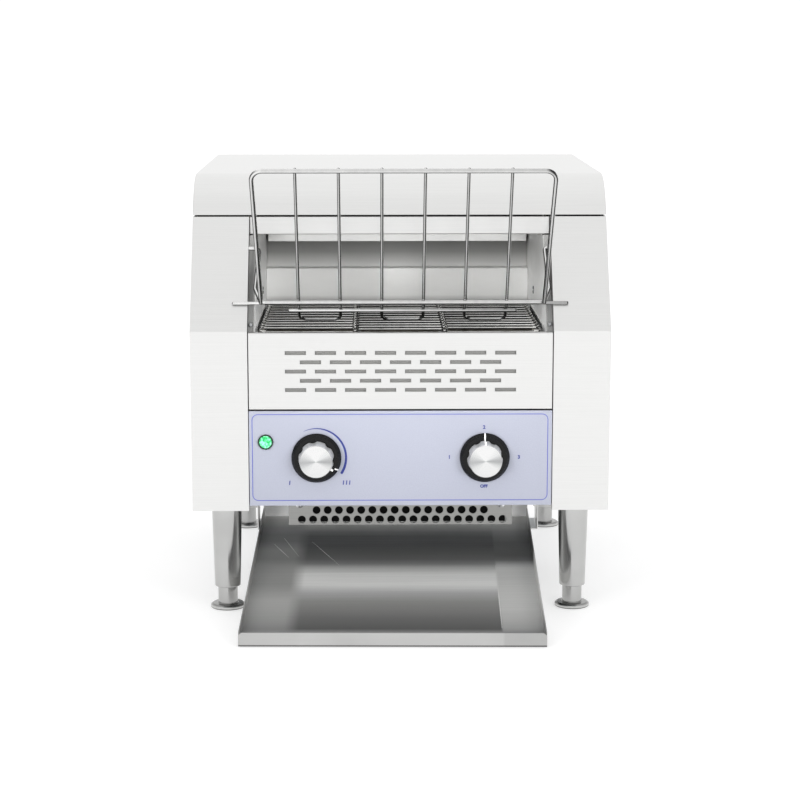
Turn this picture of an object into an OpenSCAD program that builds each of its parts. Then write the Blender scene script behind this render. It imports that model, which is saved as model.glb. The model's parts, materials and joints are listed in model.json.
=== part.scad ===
// Conveyor toaster. A wire belt carries bread between two banks of heaters, and the
// toast drops behind the belt, down a chute, onto a tray under the casing.
// +Z is up, the front faces -Y, and the feet stand on Z = 0.

/* [Casing] */
// Width over the two side covers
case_w = 368; // [340:1:420]
// Depth from the column fronts to the rear cover
case_d = 384; // [376:1:430]
// Clear height under the casing
stand_h = 96; // [90:1:120]
// Height of the upright front, up to the kink
front_h = 160; // [156:1:175]
// Height of the sloped part above the kink
slope_h = 97; // [90:1:105]
// How far the slope leans back
slope_d = 56; // [50:1:62]
// Height of the top cover above its seam
cap_h = 34; // [30:1:42]
// Radius of the top cover's rounded front
cap_r = 50; // [45:1:60]
// Shadow gap below the top cover
seam_gap = 1.5; // [1:0.1:3]
// Thickness of the casing sheet
sheet_t = 1.2; // [0.8:0.1:1.5]
// Small gap between sheets that only lie together
lay_gap = 0.2; // [0.1:0.05:0.3]
// Width of each column's front face
column_w = 50; // [46:1:56]
// Depth of the folded edge inside each column
fold_d = 14; // [8:1:18]
// Height of the inner strip that carries the top cover
joggle_h = 16; // [10:1:24]

/* [Inner plates] */
// Distance from the column edge in to the inner plate's inner face
plate_in = 6; // [5:0.5:7]
// How far the inner plate stands back from the casing's front line
plate_back = 8; // [6:0.5:10]
// Gap at each end of what spans the two inner plates
span_gap = 0.3; // [0.2:0.1:0.5]

/* [Front panels] */
// Height of the control panel above the casing's underside
control_lift = 4.6; // [3:0.1:6]
// Height of the control panel
control_h = 85; // [80:0.5:88]
// Gap between the control panel and the vent panel
panel_gap = 1.4; // [1:0.1:2]
// Gap between a front panel and the columns
panel_side_gap = 0.6; // [0.3:0.1:1]
// How far the vent panel stands back from the column fronts
panel_back = 1; // [0.8:0.1:2]
// Drop from the kink to the vent panel's top edge
vent_drop = 1.2; // [0.5:0.1:2]
// Thickness of the printed overlay
overlay_t = 0.5; // [0.3:0.1:0.8]
// Depth of the vent panel's folded top edge
vent_fold = 6.5; // [4:0.5:6.5]
// Depth of the folds along the joint of the two panels
joint_fold = 5; // [3:0.5:6]
// Height of the front header below the seam
header_h = 16; // [12:0.5:18]
// How far the header stands back from the seam's front edge
header_back = 2; // [1:0.5:4]
// Depth of the header's folded lower edge
header_fold = 7; // [5:0.5:10]

/* [Vent slots] */
// Length of one slot
slot_w = 18.3; // [14:0.1:20]
// Height of one slot
slot_h = 3.1; // [2:0.1:4]
// Distance between slots in a row
slot_pitch = 26.3; // [24:0.1:28]
// Distance between rows
slot_row = 8.2; // [6:0.1:9]
// Number of rows
slot_rows = 5; // [3:1:5]
// Plain width left beside the rows of slots
slot_side = 26; // [20:1:60]
// Drop from the vent panel's top edge to the first row
slot_drop = 17.8; // [14:0.1:20]

/* [Guard] */
// Distance of the guard's ends from the inner plates
guard_side = 28; // [20:1:50]
// How far the guard hangs below the casing
guard_drop = 18; // [14:0.5:22]
// How far the guard stands back from the column fronts
guard_back = 22; // [20:0.5:28]
// Hole diameter
guard_hole = 7; // [4:0.1:7.2]
// Hole pitch
guard_pitch = 10; // [9:0.1:12]
// Sideways offset of the guard's lower row of holes
guard_shift = 1.8; // [0:0.1:2]
// Distance of the guard's screws from its ends
guard_screw_in = 9.8; // [8:0.2:14]

/* [Belt] */
// Pitch of the belt's strands
belt_pitch = 16; // [14:0.5:18]
// Strands round one shaft, counted over the full turn
belt_turn = 8; // [7:1:8]
// Strands along one straight run
belt_run = 10; // [8:1:10]
// Diameter of the belt wire
belt_wire = 2; // [1.6:0.1:2.4]
// Diameter of the links between strands
belt_link = 1.6; // [1:0.1:1.8]
// Gap between the belt and its guide strips
belt_gap = 1.9; // [1:0.1:3]
// Drop from the kink to the belt's upper strands
belt_drop = 1.7; // [1.5:0.1:5]
// Distance from the column fronts to the front shaft
belt_front = 27; // [26:0.5:34]
// Distance from the centre to the inner links
link_x = 39.5; // [30:0.5:50]
// Distance of the outer links from the belt's edges
link_edge = 4.5; // [3:0.5:20]
// Diameter of the belt shafts
shaft_d = 10; // [8:0.5:12]
// Radial clearance of a shaft or spindle in its bush
run_gap = 0.05; // [0.02:0.01:0.08]
// Gap between sprocket tips and the belt wire
tip_gap = 0.3; // [0.2:0.05:0.8]
// Thickness of the belt sprockets
sprocket_t = 3; // [2:0.5:5]
// Wall of the shaft bushes
bush_wall = 3; // [2:0.5:4]
// Height of the guide strips beside the belt
guide_h = 9; // [6:0.5:12]
// Thickness of the guide strips
guide_t = 1.6; // [1:0.1:1.8]

/* [Heaters] */
// Diameter of the heater rods
heater_d = 8; // [6:0.5:10]
// Number of heaters in each bank
heater_count = 3; // [2:1:3]
// Distance between heaters
heater_pitch = 42; // [30:1:44]
// Drop from the seam to the upper heaters
heater_drop = 14; // [12:0.5:16]
// How far the upper reflector's rear edge hangs below the seam
reflector_h = 41; // [38:0.5:44]
// How far the rod ends stand out of the inner plates
heater_end = 16; // [10:1:24]
// Outer diameter of the ceramic collars
collar_d = 15; // [12:0.5:18]

/* [Toast path] */
// Distance from the column fronts to the chamber's back panel
back_y = 232; // [228:1:240]
// Height of the lower back panel above the kink
back_step = 29.7; // [26:0.1:34]
// How far the upper back panel stands behind the lower one
back_set = 14; // [10:0.5:18]
// Height of the back panels' joint with the chute below the kink
chute_top = 50; // [40:1:60]
// Radius of the chute's bend
chute_r = 75; // [60:1:85]
// Angle that the chute turns through
chute_turn = 55; // [40:1:60]
// Drop from the kink to the heat shield over the controls
shield_drop = 52; // [50:0.5:54]

/* [Drive] */
// Teeth of the motor sprocket
motor_teeth = 12; // [11:1:14]
// Teeth of the sprocket on the rear shaft
driven_teeth = 24; // [20:1:26]
// Pitch of the drive chain
chain_pitch = 6.35; // [6:0.05:7]
// Width of the drive chain
chain_w = 6; // [5:0.5:8]
// Distance of the chain from the inner plate
chain_out = 20; // [18:1:26]
// Distance from the rear shaft back to the motor shaft
motor_back = 112; // [100:1:120]
// Height of the motor shaft above the casing's underside
motor_up = 56; // [48:1:60]
// Side of the square gearbox
gearbox_w = 60; // [50:1:64]
// Depth of the gearbox along its shaft
gearbox_t = 36; // [30:1:44]
// Diameter of the motor
motor_d = 50; // [40:1:56]
// Length of the motor
motor_len = 62; // [50:1:70]
// Diameter of the gearbox output shaft
output_d = 8; // [6:0.5:10]

/* [Fan] */
// Side of the fan's frame
fan_w = 80; // [60:1:90]
// Depth of the fan's frame
fan_t = 25; // [20:1:30]
// Distance from the centre to the fan's axis
fan_x = -60; // [-70:1:-55]
// Height of the fan's axis above the casing's underside
fan_up = 170; // [150:1:180]
// Number of blades
fan_blades = 7; // [5:1:9]

/* [Controls] */
// Distance of each knob's axis from the panel's end
knob_side = 59.2; // [54:0.1:66]
// Height of the knobs above the casing's underside
knob_up = 47.8; // [44:0.1:52]
// Diameter of the knob skirt
skirt_d = 44; // [40:0.5:48]
// Thickness of the knob skirt
skirt_t = 4.5; // [3:0.1:6]
// Diameter of the knob's grip over its lobes
grip_d = 31.5; // [28:0.5:34]
// Length of the grip in front of the skirt
grip_len = 14.5; // [12:0.5:18]
// Lobes round the grip
grip_lobes = 7; // [6:1:12]
// Gap between a knob and the overlay
knob_gap = 0.8; // [0.5:0.1:1.5]
// Diameter of the control spindles
spindle_d = 6; // [5:0.5:7]
// Distance of the pilot lamp from the panel's end
lamp_side = 14.5; // [12:0.1:20]
// Height of the pilot lamp above the casing's underside
lamp_up = 62.1; // [58:0.1:70]
// Outer diameter of the lamp's bezel
lamp_d = 13.6; // [10:0.1:16]
// Angle of the speed knob's pointer above the right-hand horizontal
speed_angle = -29; // [-45:1:90]

/* [Feed rack] */
// Sideways offset of the hung rack
rack_shift = 2; // [-3:0.5:3]
// Distance of the rack's frame from the columns, at its top
rack_side = 6; // [5:0.5:14]
// How much narrower each side of the frame is at its foot
rack_taper = 4; // [3:0.5:8]
// How far the rack's top bar stands in front of the columns
rack_out = 58; // [40:1:70]
// Height of the top bar above the kink
rack_up = 143.5; // [130:0.5:155]
// Wire diameter of the rack's frame
rack_wire = 4; // [3:0.1:4.6]
// Wire diameter of the rack's uprights
rack_thin = 2.8; // [2:0.1:3.2]
// Corner radius of the rack's frame
rack_bend = 9; // [6:0.5:14]
// Distance between the rack's uprights
rack_pitch = 36.5; // [34:0.1:37]
// Number of U loops that the uprights form
rack_loops = 3; // [1:1:3]
// How far the hanger rod reaches over each column
hanger_over = 12; // [6:0.5:20]
// Diameter of the hanger rod
hanger_d = 3; // [2:0.1:3.4]
// Height of the hanger rod above the kink
hanger_up = 23.6; // [22:0.1:30]
// How far the uprights reach in over the belt
loop_in = 23; // [18:1:30]
// Gap between the U loops and the belt
loop_gap = 4.8; // [2:0.1:8]
// Radius of the uprights' bends
loop_bend = 6; // [4:0.5:9]

/* [Tray] */
// Gap between the collecting tray and the legs
tray_gap = 11.5; // [10:0.5:20]
// Length of the collecting tray
tray_l = 326; // [300:1:340]
// Distance from the column fronts to the tray's rear edge
tray_rear = 226; // [210:1:230]
// Slope of the tray's floor
tray_slope = 6.5; // [5:0.1:7]
// Thickness of the tray's sheet
tray_t = 1; // [0.8:0.1:1.5]
// Height of the front lip
tray_lip = 11.8; // [9:0.1:14]
// Height of the side walls at the rear
tray_wall = 9.5; // [5:0.5:11]
// Height of the rear wall
tray_back = 13; // [11:0.5:15]
// Clearance under the lip
tray_float = 0.8; // [0.5:0.1:2]
// Angle by which the loose tray stands askew
tray_turn = 1.1; // [0:0.1:1.5]
// Sideways offset of the tray's rear edge
tray_shift = -2; // [-3:0.5:3]

/* [Legs] */
// Distance of each leg's axis from the casing's side
leg_side = 28; // [22:0.5:32]
// Distance of the legs from the casing's front and rear
leg_inset = 33; // [30:1:45]
// Diameter of a leg at its top
leg_top_d = 27; // [24:0.5:30]
// Diameter of a leg at its lower end
leg_low_d = 23.3; // [21:0.1:26]
// Height of the leg's lower end at rest
leg_low = 20; // [16:0.5:26]
// Diameter of the adjuster's stem
stem_d = 17.6; // [14:0.1:18.5]
// Depth of the stem's bore in the leg
stem_in = 34; // [28:1:50]
// Diameter of the foot plate
foot_d = 31.5; // [28:0.5:40]
// Thickness of the foot plate
foot_t = 4; // [3:0.5:6]
// Diameter of the leg's stud
stud_d = 8; // [6:0.5:10]

/* [Fasteners and inlet] */
// Thread diameter of the casing screws
screw_d = 4; // [3:0.5:5]
// Head diameter of the casing screws
screw_head = 7.4; // [6:0.1:9]
// Outer diameter of the cable gland
gland_d = 22; // [18:0.5:26]
// How far the gland stands out behind the casing
gland_out = 18.5; // [14:0.5:24]
// Bore of the cable gland
gland_bore = 8; // [6:0.5:10]

/* [Hidden] */
$fn = 48;
cut = 1;

// Levels and half widths
under_z = stand_h;
kink_z = under_z + front_h;
seam_z = kink_z + slope_h;
top_z = seam_z + cap_h;
deck_z = under_z + sheet_t;
slope_a = atan2(slope_d, slope_h);
half_w = case_w / 2;
wall_x = half_w - sheet_t;
column_x = half_w - column_w;
plate_x = column_x - plate_in;
span_x = plate_x - span_gap;
panel_x = column_x - panel_side_gap;
rear_in = case_d - sheet_t;
rim_z = seam_z - seam_gap;
leg_x = half_w - leg_side;
tray_w = 2 * (leg_x - leg_top_d / 2 - tray_gap);
guard_w = 2 * (plate_x - guard_side);
guard_count = floor((guard_w - guard_hole) / guard_pitch);
slot_count = floor(2 * (panel_x - slot_side) / slot_pitch);

// Places of the controls
control_z = under_z + control_lift;
control_top = control_z + control_h;
vent_z = control_top + panel_gap;
vent_top = kink_z - vent_drop;
overlay_y = panel_back - overlay_t;
knob_x = panel_x - knob_side;
knob_z = under_z + knob_up;
lamp_x = lamp_side - panel_x;
lamp_z = under_z + lamp_up;
knob_back = overlay_y - knob_gap;

// Belt loop
belt_r = belt_turn * belt_pitch / (2 * PI);
belt_len = belt_run * belt_pitch;
belt_n = 2 * belt_run + belt_turn;
belt_w = 2 * (plate_x - guide_t - belt_gap);
link_out_x = belt_w / 2 - link_edge;
belt_top = kink_z - belt_drop;
belt_z = belt_top - belt_r;
belt_back = belt_front + belt_len;
tip_r = belt_r - belt_wire / 2 - tip_gap;
link_gap = 1.2;
sprocket_in = (belt_link + sprocket_t) / 2 + link_gap;

// Drive
chain_x = plate_x + sheet_t + chain_out;
motor_y = belt_back + motor_back;
motor_z = under_z + motor_up;
motor_pr = chain_pitch / (2 * sin(180 / motor_teeth));
driven_pr = chain_pitch / (2 * sin(180 / driven_teeth));
chain_t = 5;
chain_gap = 0.4;
wheel_t = 3.2;
fan_y = rear_in - lay_gap - fan_t;
fan_z = under_z + fan_up;
fan_hub = fan_w * 0.4;
fan_pin = 3;
fan_wall = 2.5;
fan_spoke_t = 3;
fan_spoke_w = 4;
fan_play = 1;
blade_gap = 1.5;
blade_turn = 32;
blade_w = 18;
blade_t = 1.6;

// Heaters
heater_up_z = seam_z - heater_drop;
heater_low_z = belt_z;
heater_y0 = (belt_front + belt_back) / 2 - (heater_count - 1) / 2 * heater_pitch;
upper_y0 = back_y / 2 + heater_pitch / 2 - (heater_count - 1) / 2 * heater_pitch;
heater_play = 0.4;
collar_bore = heater_d + heater_play;
collar_rim = 3;
collar_in = 2;
collar_out = 5;

// Feed rack: the hanger rod lies on the column slopes, the foot bar is welded in front of it
function slope_y(z) = (z - kink_z) * tan(slope_a);
bend_lap = 0.4;
bend_swell = 0.08;
foot_turn = 22;
lie_gap = 0.3;
hook_gap = 2;
hook_side = 0.7;
hook_lean = 3.2;
hook_up = 45;
hook_rise = 10;
hook_bend = 3.5;
rack_half = column_x - rack_side;
rack_foot_half = rack_half - rack_taper;
hanger_len = 2 * (column_x + hanger_over);
foot_wire = rack_wire - 0.3;
rest_d = rack_wire - 0.8;
weld = 0.3;
hanger_z = kink_z + hanger_up;
hanger_y = slope_y(hanger_z) - (hanger_d / 2 + lie_gap) / cos(slope_a);
foot_step = (hanger_d + foot_wire) / 2 - weld;
foot_y = hanger_y - foot_step * cos(foot_turn);
foot_z = hanger_z + foot_step * sin(foot_turn);
rack_top_z = kink_z + rack_up;
rack_lean = atan2(rack_out + foot_y, rack_top_z - foot_z);
hook_x = column_x - hook_side - foot_wire / 2 - abs(rack_shift);
hook_end = column_x - hook_side;
hook_top = hanger_z + hook_up;
hook_z = foot_z + hook_rise;
back_step_up = (rack_wire + rack_thin) / 2 - weld;
top_back = [-rack_out + back_step_up * cos(rack_lean), rack_top_z + back_step_up * sin(rack_lean)];
bend_back = [foot_y + back_step_up * cos(rack_lean), foot_z + back_step_up * sin(rack_lean)];
loop_z = belt_top + belt_wire / 2 + rack_thin / 2 + loop_gap;
loop_y = bend_back[0] + loop_in;
loop_slope = atan2(bend_back[1] - loop_z, loop_in);
rest_step = (rest_d + rack_thin) / 2 - weld;
rest_in = 9.2;
rest_y = bend_back[0] + rest_in - rest_step * sin(loop_slope);
rest_z = bend_back[1] - rest_in * tan(loop_slope) - rest_step * cos(loop_slope);

// Tray and legs
tray_front = tray_l * cos(tray_turn) + tray_w / 2 * sin(tray_turn) - tray_rear;
stem_play = 14;
stem_top = leg_low + stem_in - stem_play;
leg_y = [leg_inset, case_d - leg_inset];

// The part's origin is under the middle of its outer box
case_y = (tray_front - case_d - gland_out) / 2;

// Casing line: depth of the front at height z, set in by t
function face_y(z, t = 0) = max(t, slope_y(z) + t / cos(slope_a));

// Centre of the top cover's rounded front
cap_cz = top_z - cap_r;
cap_cy = slope_d + sqrt(cap_r * cap_r - pow(seam_z - cap_cz, 2));

// ---------- helpers ----------

module in_place() {
    translate([0, case_y, 0]) children();
}

// A box from its low and high corners
module block(low, high) {
    translate(low) cube(high - low);
}

// Extrudes a side profile, drawn as (depth, height), from x0 to x1
module across(x0, x1) {
    translate([x0, 0, 0]) rotate([90, 0, 90]) linear_extrude(x1 - x0) children();
}

// A round bar from a to b
module bar(a, b, d) {
    v = b - a;
    translate(a)
        rotate([0, atan2(norm([v[0], v[1]]), v[2]), atan2(v[1], v[0])])
            cylinder(h = norm(v), d = d);
}

function unit(v) = v / norm(v);

// Column i of a frame's matrix: one part of its three axes and its origin
function frame_row(x, y, z, c, i) = [x[i], y[i], z[i], c[i]];

// A round wire through a list of points, with every corner bent to radius r.
// Each straight runs a little way into its bends, which are a touch thicker.
module wire(p, r, d) {
    last = len(p) - 1;
    u = [for (i = [0:last - 1]) unit(p[i + 1] - p[i])];
    turn = [0, for (i = [1:last - 1]) acos(u[i - 1] * u[i]), 0];
    trim = [for (t = turn) t > 0 ? r * tan(t / 2) - bend_lap : 0];
    for (i = [0:last - 1]) bar(p[i] + u[i] * trim[i], p[i + 1] - u[i] * trim[i + 1], d);
    for (i = [1:last - 1]) {
        start = p[i] - u[i - 1] * (trim[i] + bend_lap);
        x = -unit(u[i] - u[i - 1] * (u[i - 1] * u[i]));
        y = u[i - 1];
        z = cross(x, y);
        c = start - x * r;
        multmatrix([for (k = [0:2]) frame_row(x, y, z, c, k)])
            rotate_extrude(angle = turn[i]) translate([r, 0]) circle(d = d + bend_swell, $fn = 24);
    }
}

// A cylinder along Y from y0 to y1
module along_y(x, z, y0, y1, d) {
    translate([x, y0, z]) rotate([-90, 0, 0]) cylinder(h = y1 - y0, d = d);
}

// A cylinder along X from x0 to x1
module along_x(y, z, x0, x1, d) {
    translate([x0, y, z]) rotate([0, 90, 0]) cylinder(h = x1 - x0, d = d);
}

// Strip of sheet that follows the casing's front line between two heights
module front_strip(z0, z1, inset, t) {
    corner = tan(slope_a / 2);
    polygon([
        [inset, z0],
        [inset, kink_z - inset * corner],
        [face_y(z1, inset), z1],
        [face_y(z1, inset + t), z1],
        [inset + t, kink_z - (inset + t) * corner],
        [inset + t, z0]
    ]);
}

// A row-by-row slot pattern centred on x = 0, going down from z = 0
module slot_field(rows, count) {
    for (row = [0:rows - 1]) {
        n = row % 2 == 0 ? count : count - 1;
        for (i = [0:n - 1])
            translate([(i - (n - 1) / 2) * slot_pitch, -row * slot_row]) slot(slot_w, slot_h);
    }
}

// A plain punched slot
module slot(w, h) {
    square([w, h], center = true);
}

// Stands a flat pattern, drawn as (x, z), upright and cuts it through depth y0 to y1
module upright(y0, y1) {
    translate([0, y1, 0]) rotate([90, 0, 0]) linear_extrude(y1 - y0) children();
}

// ---------- casing ----------

// Opening in the floor that the toast leaves through
drop_len = 106;
drop_over = 6;
drop_y0 = back_y - drop_len;
drop_y1 = back_y + drop_over;

// Folds, play and shanks
plate_fold = 14;
flange_w = 14;
stud_play = 0.5;
screw_play = 0.2;
shank_over = 3;
shank_l = 2 * sheet_t + shank_over;
head_h = 0.3 * screw_head;

module bottom_plate() {
    color("#dfe1e3") in_place() difference() {
        union() {
            block([-wall_x + lay_gap, guard_back + sheet_t, under_z],
                  [wall_x - lay_gap, rear_in - sheet_t - lay_gap, deck_z]);
            for (m = [0, 1]) mirror([m, 0, 0])
                block([column_x + sheet_t + lay_gap, sheet_t + lay_gap, under_z],
                      [wall_x - lay_gap, guard_back + 2 * sheet_t, deck_z]);
            block([-span_x, guard_back + sheet_t, under_z],
                  [span_x, guard_back + 2 * sheet_t, under_z + plate_fold]);
        }
        block([-span_x, drop_y0, under_z - cut], [span_x, drop_y1, deck_z + cut]);
        for (sx = [-1, 1], y = leg_y)
            translate([sx * leg_x, y, under_z - cut]) cylinder(h = sheet_t + 2 * cut, d = stud_d + stud_play);
        for (s = [-1, 1])
            along_y(s * guard_screw_x, guard_screw_z, guard_back, guard_back + 2 * shank_l,
                    screw_d + screw_play);
    }
}

// Carrying strip under the top cover, and the louvres of the side covers
joggle_front = 24;
joggle_rear = 8;
side_slot_back = 138;
side_slot_up = 99;
side_slot_count = 6;

// Side wall, column front, folded edge, rear flange and joggle of one side cover
module side_cover() {
    difference() {
        union() {
            across(wall_x, half_w) polygon([
                [0, under_z], [0, kink_z], [face_y(rim_z), rim_z], [rear_in, rim_z], [rear_in, under_z]
            ]);
            across(column_x, half_w) front_strip(under_z, rim_z, 0, sheet_t);
            across(column_x, column_x + sheet_t) front_strip(under_z, rim_z, 0, fold_d);
            block([wall_x - flange_w, rear_in - sheet_t, deck_z + lay_gap], [wall_x, rear_in, rim_z]);
            across(wall_x - sheet_t, wall_x) polygon([
                [face_y(seam_z) + joggle_front, rim_z - joggle_h / 2],
                [face_y(seam_z) + joggle_front, rim_z + joggle_h / 2],
                [rear_in - joggle_rear, rim_z + joggle_h / 2],
                [rear_in - joggle_rear, rim_z - joggle_h / 2]
            ]);
        }
        translate([0, case_d - side_slot_back, under_z + side_slot_up])
            rotate([90, 0, 90]) linear_extrude(case_w) slot_field(slot_rows, side_slot_count);
        for (z = rear_screw_z)
            along_y(rear_screw_x, z, rear_in - 2 * sheet_t, rear_in + cut, screw_d + screw_play);
    }
}

module left_side_cover() {
    color("#e8e9ea") in_place() mirror([1, 0, 0]) side_cover();
}

module right_side_cover() {
    color("#e8e9ea") in_place() side_cover();
}

// Play round what passes through or lies on the inner plates
seat_play = 0.2;
header_gap = 3;
cap_in = 4;
output_play = 10;

header_z = rim_z - header_h;
header_y = slope_d + header_back;
header_in = header_y + sheet_t + header_fold;

module plate_hole(y, z, d) {
    along_x(y, z, plate_x - cut, plate_x + sheet_t + cut, d);
}

// Upright plate beside the chamber, with holes for shafts, collars and the motor shaft,
// and a flange along its front that closes the gap to the column
module inner_plate(drive_side) {
    plate_top = seam_z + cap_h - sheet_t - lay_gap;
    plate_low = control_z + sheet_t + lay_gap;
    across(plate_x + sheet_t - bend_lap, column_x - lay_gap)
        front_strip(plate_low, header_z - header_gap, plate_back, sheet_t);
    difference() {
        across(plate_x, plate_x + sheet_t) polygon([
            [plate_back, plate_low],
            [plate_back, kink_z],
            [face_y(header_z - header_gap, plate_back), header_z - header_gap],
            [header_in + lay_gap, header_z - header_gap],
            [header_in + lay_gap, rim_z],
            [cap_cy + cap_in, plate_top],
            [rear_in - sheet_t - lay_gap, plate_top],
            [rear_in - sheet_t - lay_gap, deck_z],
            [guard_back + 2 * sheet_t + lay_gap, deck_z],
            [guard_back + 2 * sheet_t + lay_gap, plate_low]
        ]);
        for (y = [belt_front, belt_back])
            plate_hole(y, belt_z, bush_d + seat_play);
        for (i = [0:heater_count - 1]) {
            plate_hole(heater_y0 + i * heater_pitch, heater_low_z, collar_d + seat_play);
            plate_hole(upper_y0 + i * heater_pitch, heater_up_z, collar_d + seat_play);
        }
        if (drive_side) plate_hole(motor_y, motor_z, output_d + output_play);
    }
}

module left_inner_plate() {
    color("#c9cbcd") in_place() mirror([1, 0, 0]) inner_plate(false);
}

module right_inner_plate() {
    color("#c9cbcd") in_place() inner_plate(true);
}

// Side profile of the top cover, set in by t
module cap_profile(t) {
    intersection() {
        union() {
            translate([cap_cy, cap_cz]) circle(r = cap_r - t, $fn = 96);
            translate([cap_cy, cap_cz]) square([case_d - t - cap_cy, cap_r - t]);
        }
        translate([0, seam_z - (t > 0 ? cut : 0)]) square([case_d, cap_h + 2 * cut]);
    }
}

module top_cover() {
    color("#eceded") in_place() difference() {
        across(-half_w, half_w) cap_profile(0);
        across(-wall_x, wall_x) cap_profile(sheet_t);
        for (s = [-1, 1])
            along_y(s * cap_screw_x, seam_z + cap_h / 2, rear_in - cut, case_d + cut, screw_d + screw_play);
    }
}

// Places of the screws and of the cable gland
rear_screw_x = wall_x - flange_w / 2;
rear_screw_in = 18;
rear_screw_z = [under_z + rear_screw_in, (under_z + rim_z) / 2, rim_z - rear_screw_in];
cap_screw_in = 10;
cap_screw_x = plate_x - cap_screw_in;
guard_screw_x = guard_w / 2 - guard_screw_in;
guard_screw_up = 1.4;
guard_screw_z = under_z + guard_screw_up;
gland_in_x = 16;
gland_up = 30;
gland_x = gland_in_x - plate_x;
gland_z = under_z + gland_up;
gland_thread_d = gland_d * 0.7;
gland_play = 0.4;

// Openings of the rear cover
fan_slot_n = 3;
fan_slot_row = 10;
fan_slot_h = 5;
fan_slot_in = 3;
rear_slot_x = 64;
rear_slot_up = 88;
rear_slot_count = 4;

module rear_cover() {
    color("#e2e3e4") in_place() difference() {
        block([-half_w, rear_in, under_z], [half_w, case_d, rim_z]);
        for (i = [-fan_slot_n:fan_slot_n]) {
            chord = 2 * sqrt(pow(fan_w / 2 - fan_slot_in, 2) - pow(i * fan_slot_row, 2));
            translate([fan_x, 0, fan_z + i * fan_slot_row])
                upright(rear_in - cut, case_d + cut) slot(chord, fan_slot_h);
        }
        translate([rear_slot_x, 0, under_z + rear_slot_up])
            upright(rear_in - cut, case_d + cut) slot_field(slot_rows, rear_slot_count);
        along_y(gland_x, gland_z, rear_in - cut, case_d + cut, gland_thread_d + gland_play);
        for (s = [-1, 1], z = rear_screw_z)
            along_y(s * rear_screw_x, z, rear_in - cut, case_d + cut, screw_d + screw_play);
    }
}

// How far the header's upper flange stops short of the top cover's flat
header_tuck = 14;

module front_header() {
    color("#dcdddf") in_place() {
        block([-panel_x, header_y, header_z], [panel_x, header_y + sheet_t, rim_z]);
        block([-panel_x, header_y, header_z], [panel_x, header_in, header_z + sheet_t]);
        block([-span_x, header_y, rim_z - sheet_t], [span_x, cap_cy - header_tuck, rim_z]);
    }
}

reflector_z = rim_z - sheet_t - lay_gap;
reflector_gap = 1.2;
reflector_in = 2;
reflector_y = back_y - reflector_gap;
reflector_x = span_x - reflector_in;

// Bright hood over the upper heaters, with a turned-down rear edge
module upper_reflector() {
    color("#d9dadc") in_place() {
        block([-reflector_x, header_in + reflector_in, reflector_z - sheet_t],
              [reflector_x, reflector_y, reflector_z]);
        block([-reflector_x, reflector_y - sheet_t, seam_z - reflector_h],
              [reflector_x, reflector_y, reflector_z]);
    }
}

step_z = kink_z + back_step;

module back_panel_upper() {
    back = back_y + back_set;
    color("#9c9ea1") in_place()
        block([-span_x, back, step_z - sheet_t], [span_x, back + sheet_t, reflector_z]);
}

module back_panel_lower() {
    low_z = kink_z - chute_top;
    color("#c6c7c9") in_place() {
        block([-span_x, back_y, low_z], [span_x, back_y + sheet_t, step_z]);
        block([-span_x, back_y, step_z - sheet_t], [span_x, back_y + back_set - lay_gap, step_z]);
    }
}

chute_y = back_y + sheet_t + lay_gap;
chute_up = 34;
chute_lap = 8;
chute_cz = under_z + chute_up;

// Curved sheet that turns the falling toast forwards
module toast_chute() {
    color("#bfc1c3") in_place() {
        block([-span_x, chute_y, chute_cz], [span_x, chute_y + sheet_t, kink_z - chute_top + chute_lap]);
        across(-span_x, span_x) translate([chute_y + sheet_t - chute_r, chute_cz]) difference() {
            intersection() {
                circle(r = chute_r, $fn = 120);
                polygon([[0, 0], [2 * chute_r, bend_lap], [2 * chute_r, -2 * chute_r * tan(chute_turn)]]);
            }
            circle(r = chute_r - sheet_t, $fn = 120);
        }
    }
}

shield_gap = 2;

// Sheet that closes the control space off from the lower heaters and the toast
module heat_shield() {
    z = kink_z - shield_drop;
    bend_y = belt_back - shield_gap;
    end_y = drop_y0 - shield_gap;
    color("#b9bbbd") in_place() {
        block([-span_x, plate_back, z], [span_x, bend_y, z + sheet_t]);
        across(-span_x, span_x)
            polygon([[bend_y - sheet_t, z], [bend_y, z], [end_y, deck_z], [end_y - sheet_t, deck_z]]);
    }
}

// ---------- front panels ----------

module vent_panel() {
    color("#e4e5e6") in_place() {
        difference() {
            block([-panel_x, panel_back, vent_z], [panel_x, panel_back + sheet_t, vent_top - sheet_t]);
            translate([0, 0, vent_top - slot_drop])
                upright(panel_back - cut, panel_back + sheet_t + cut) slot_field(slot_rows, slot_count);
        }
        across(-panel_x, panel_x) translate([panel_back + sheet_t, vent_top - sheet_t]) intersection() {
            circle(r = sheet_t);
            translate([-sheet_t, 0]) square(sheet_t);
        }
        block([-panel_x, panel_back + sheet_t, vent_top - sheet_t],
              [panel_x, panel_back + vent_fold, vent_top]);
        block([-panel_x, panel_back, vent_z],
              [panel_x, panel_back + joint_fold, vent_z + sheet_t]);
    }
}

control_bush_d = 9.5;
bush_play = 0.4;
guard_clear = 3;
lamp_body_d = lamp_d * 0.7;

module control_panel() {
    color("#c8cad2") in_place() difference() {
        union() {
            block([-panel_x, panel_back, control_z], [panel_x, panel_back + sheet_t, control_top]);
            block([-panel_x, panel_back, control_z],
                  [panel_x, guard_back - guard_clear, control_z + sheet_t]);
            block([-panel_x, panel_back, control_top - sheet_t],
                  [panel_x, panel_back + joint_fold, control_top]);
        }
        for (s = [-1, 1])
            along_y(s * knob_x, knob_z, panel_back - cut, panel_back + sheet_t + cut,
                    control_bush_d + bush_play);
        along_y(lamp_x, lamp_z, panel_back - cut, panel_back + sheet_t + cut, lamp_body_d + bush_play);
    }
}

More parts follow.
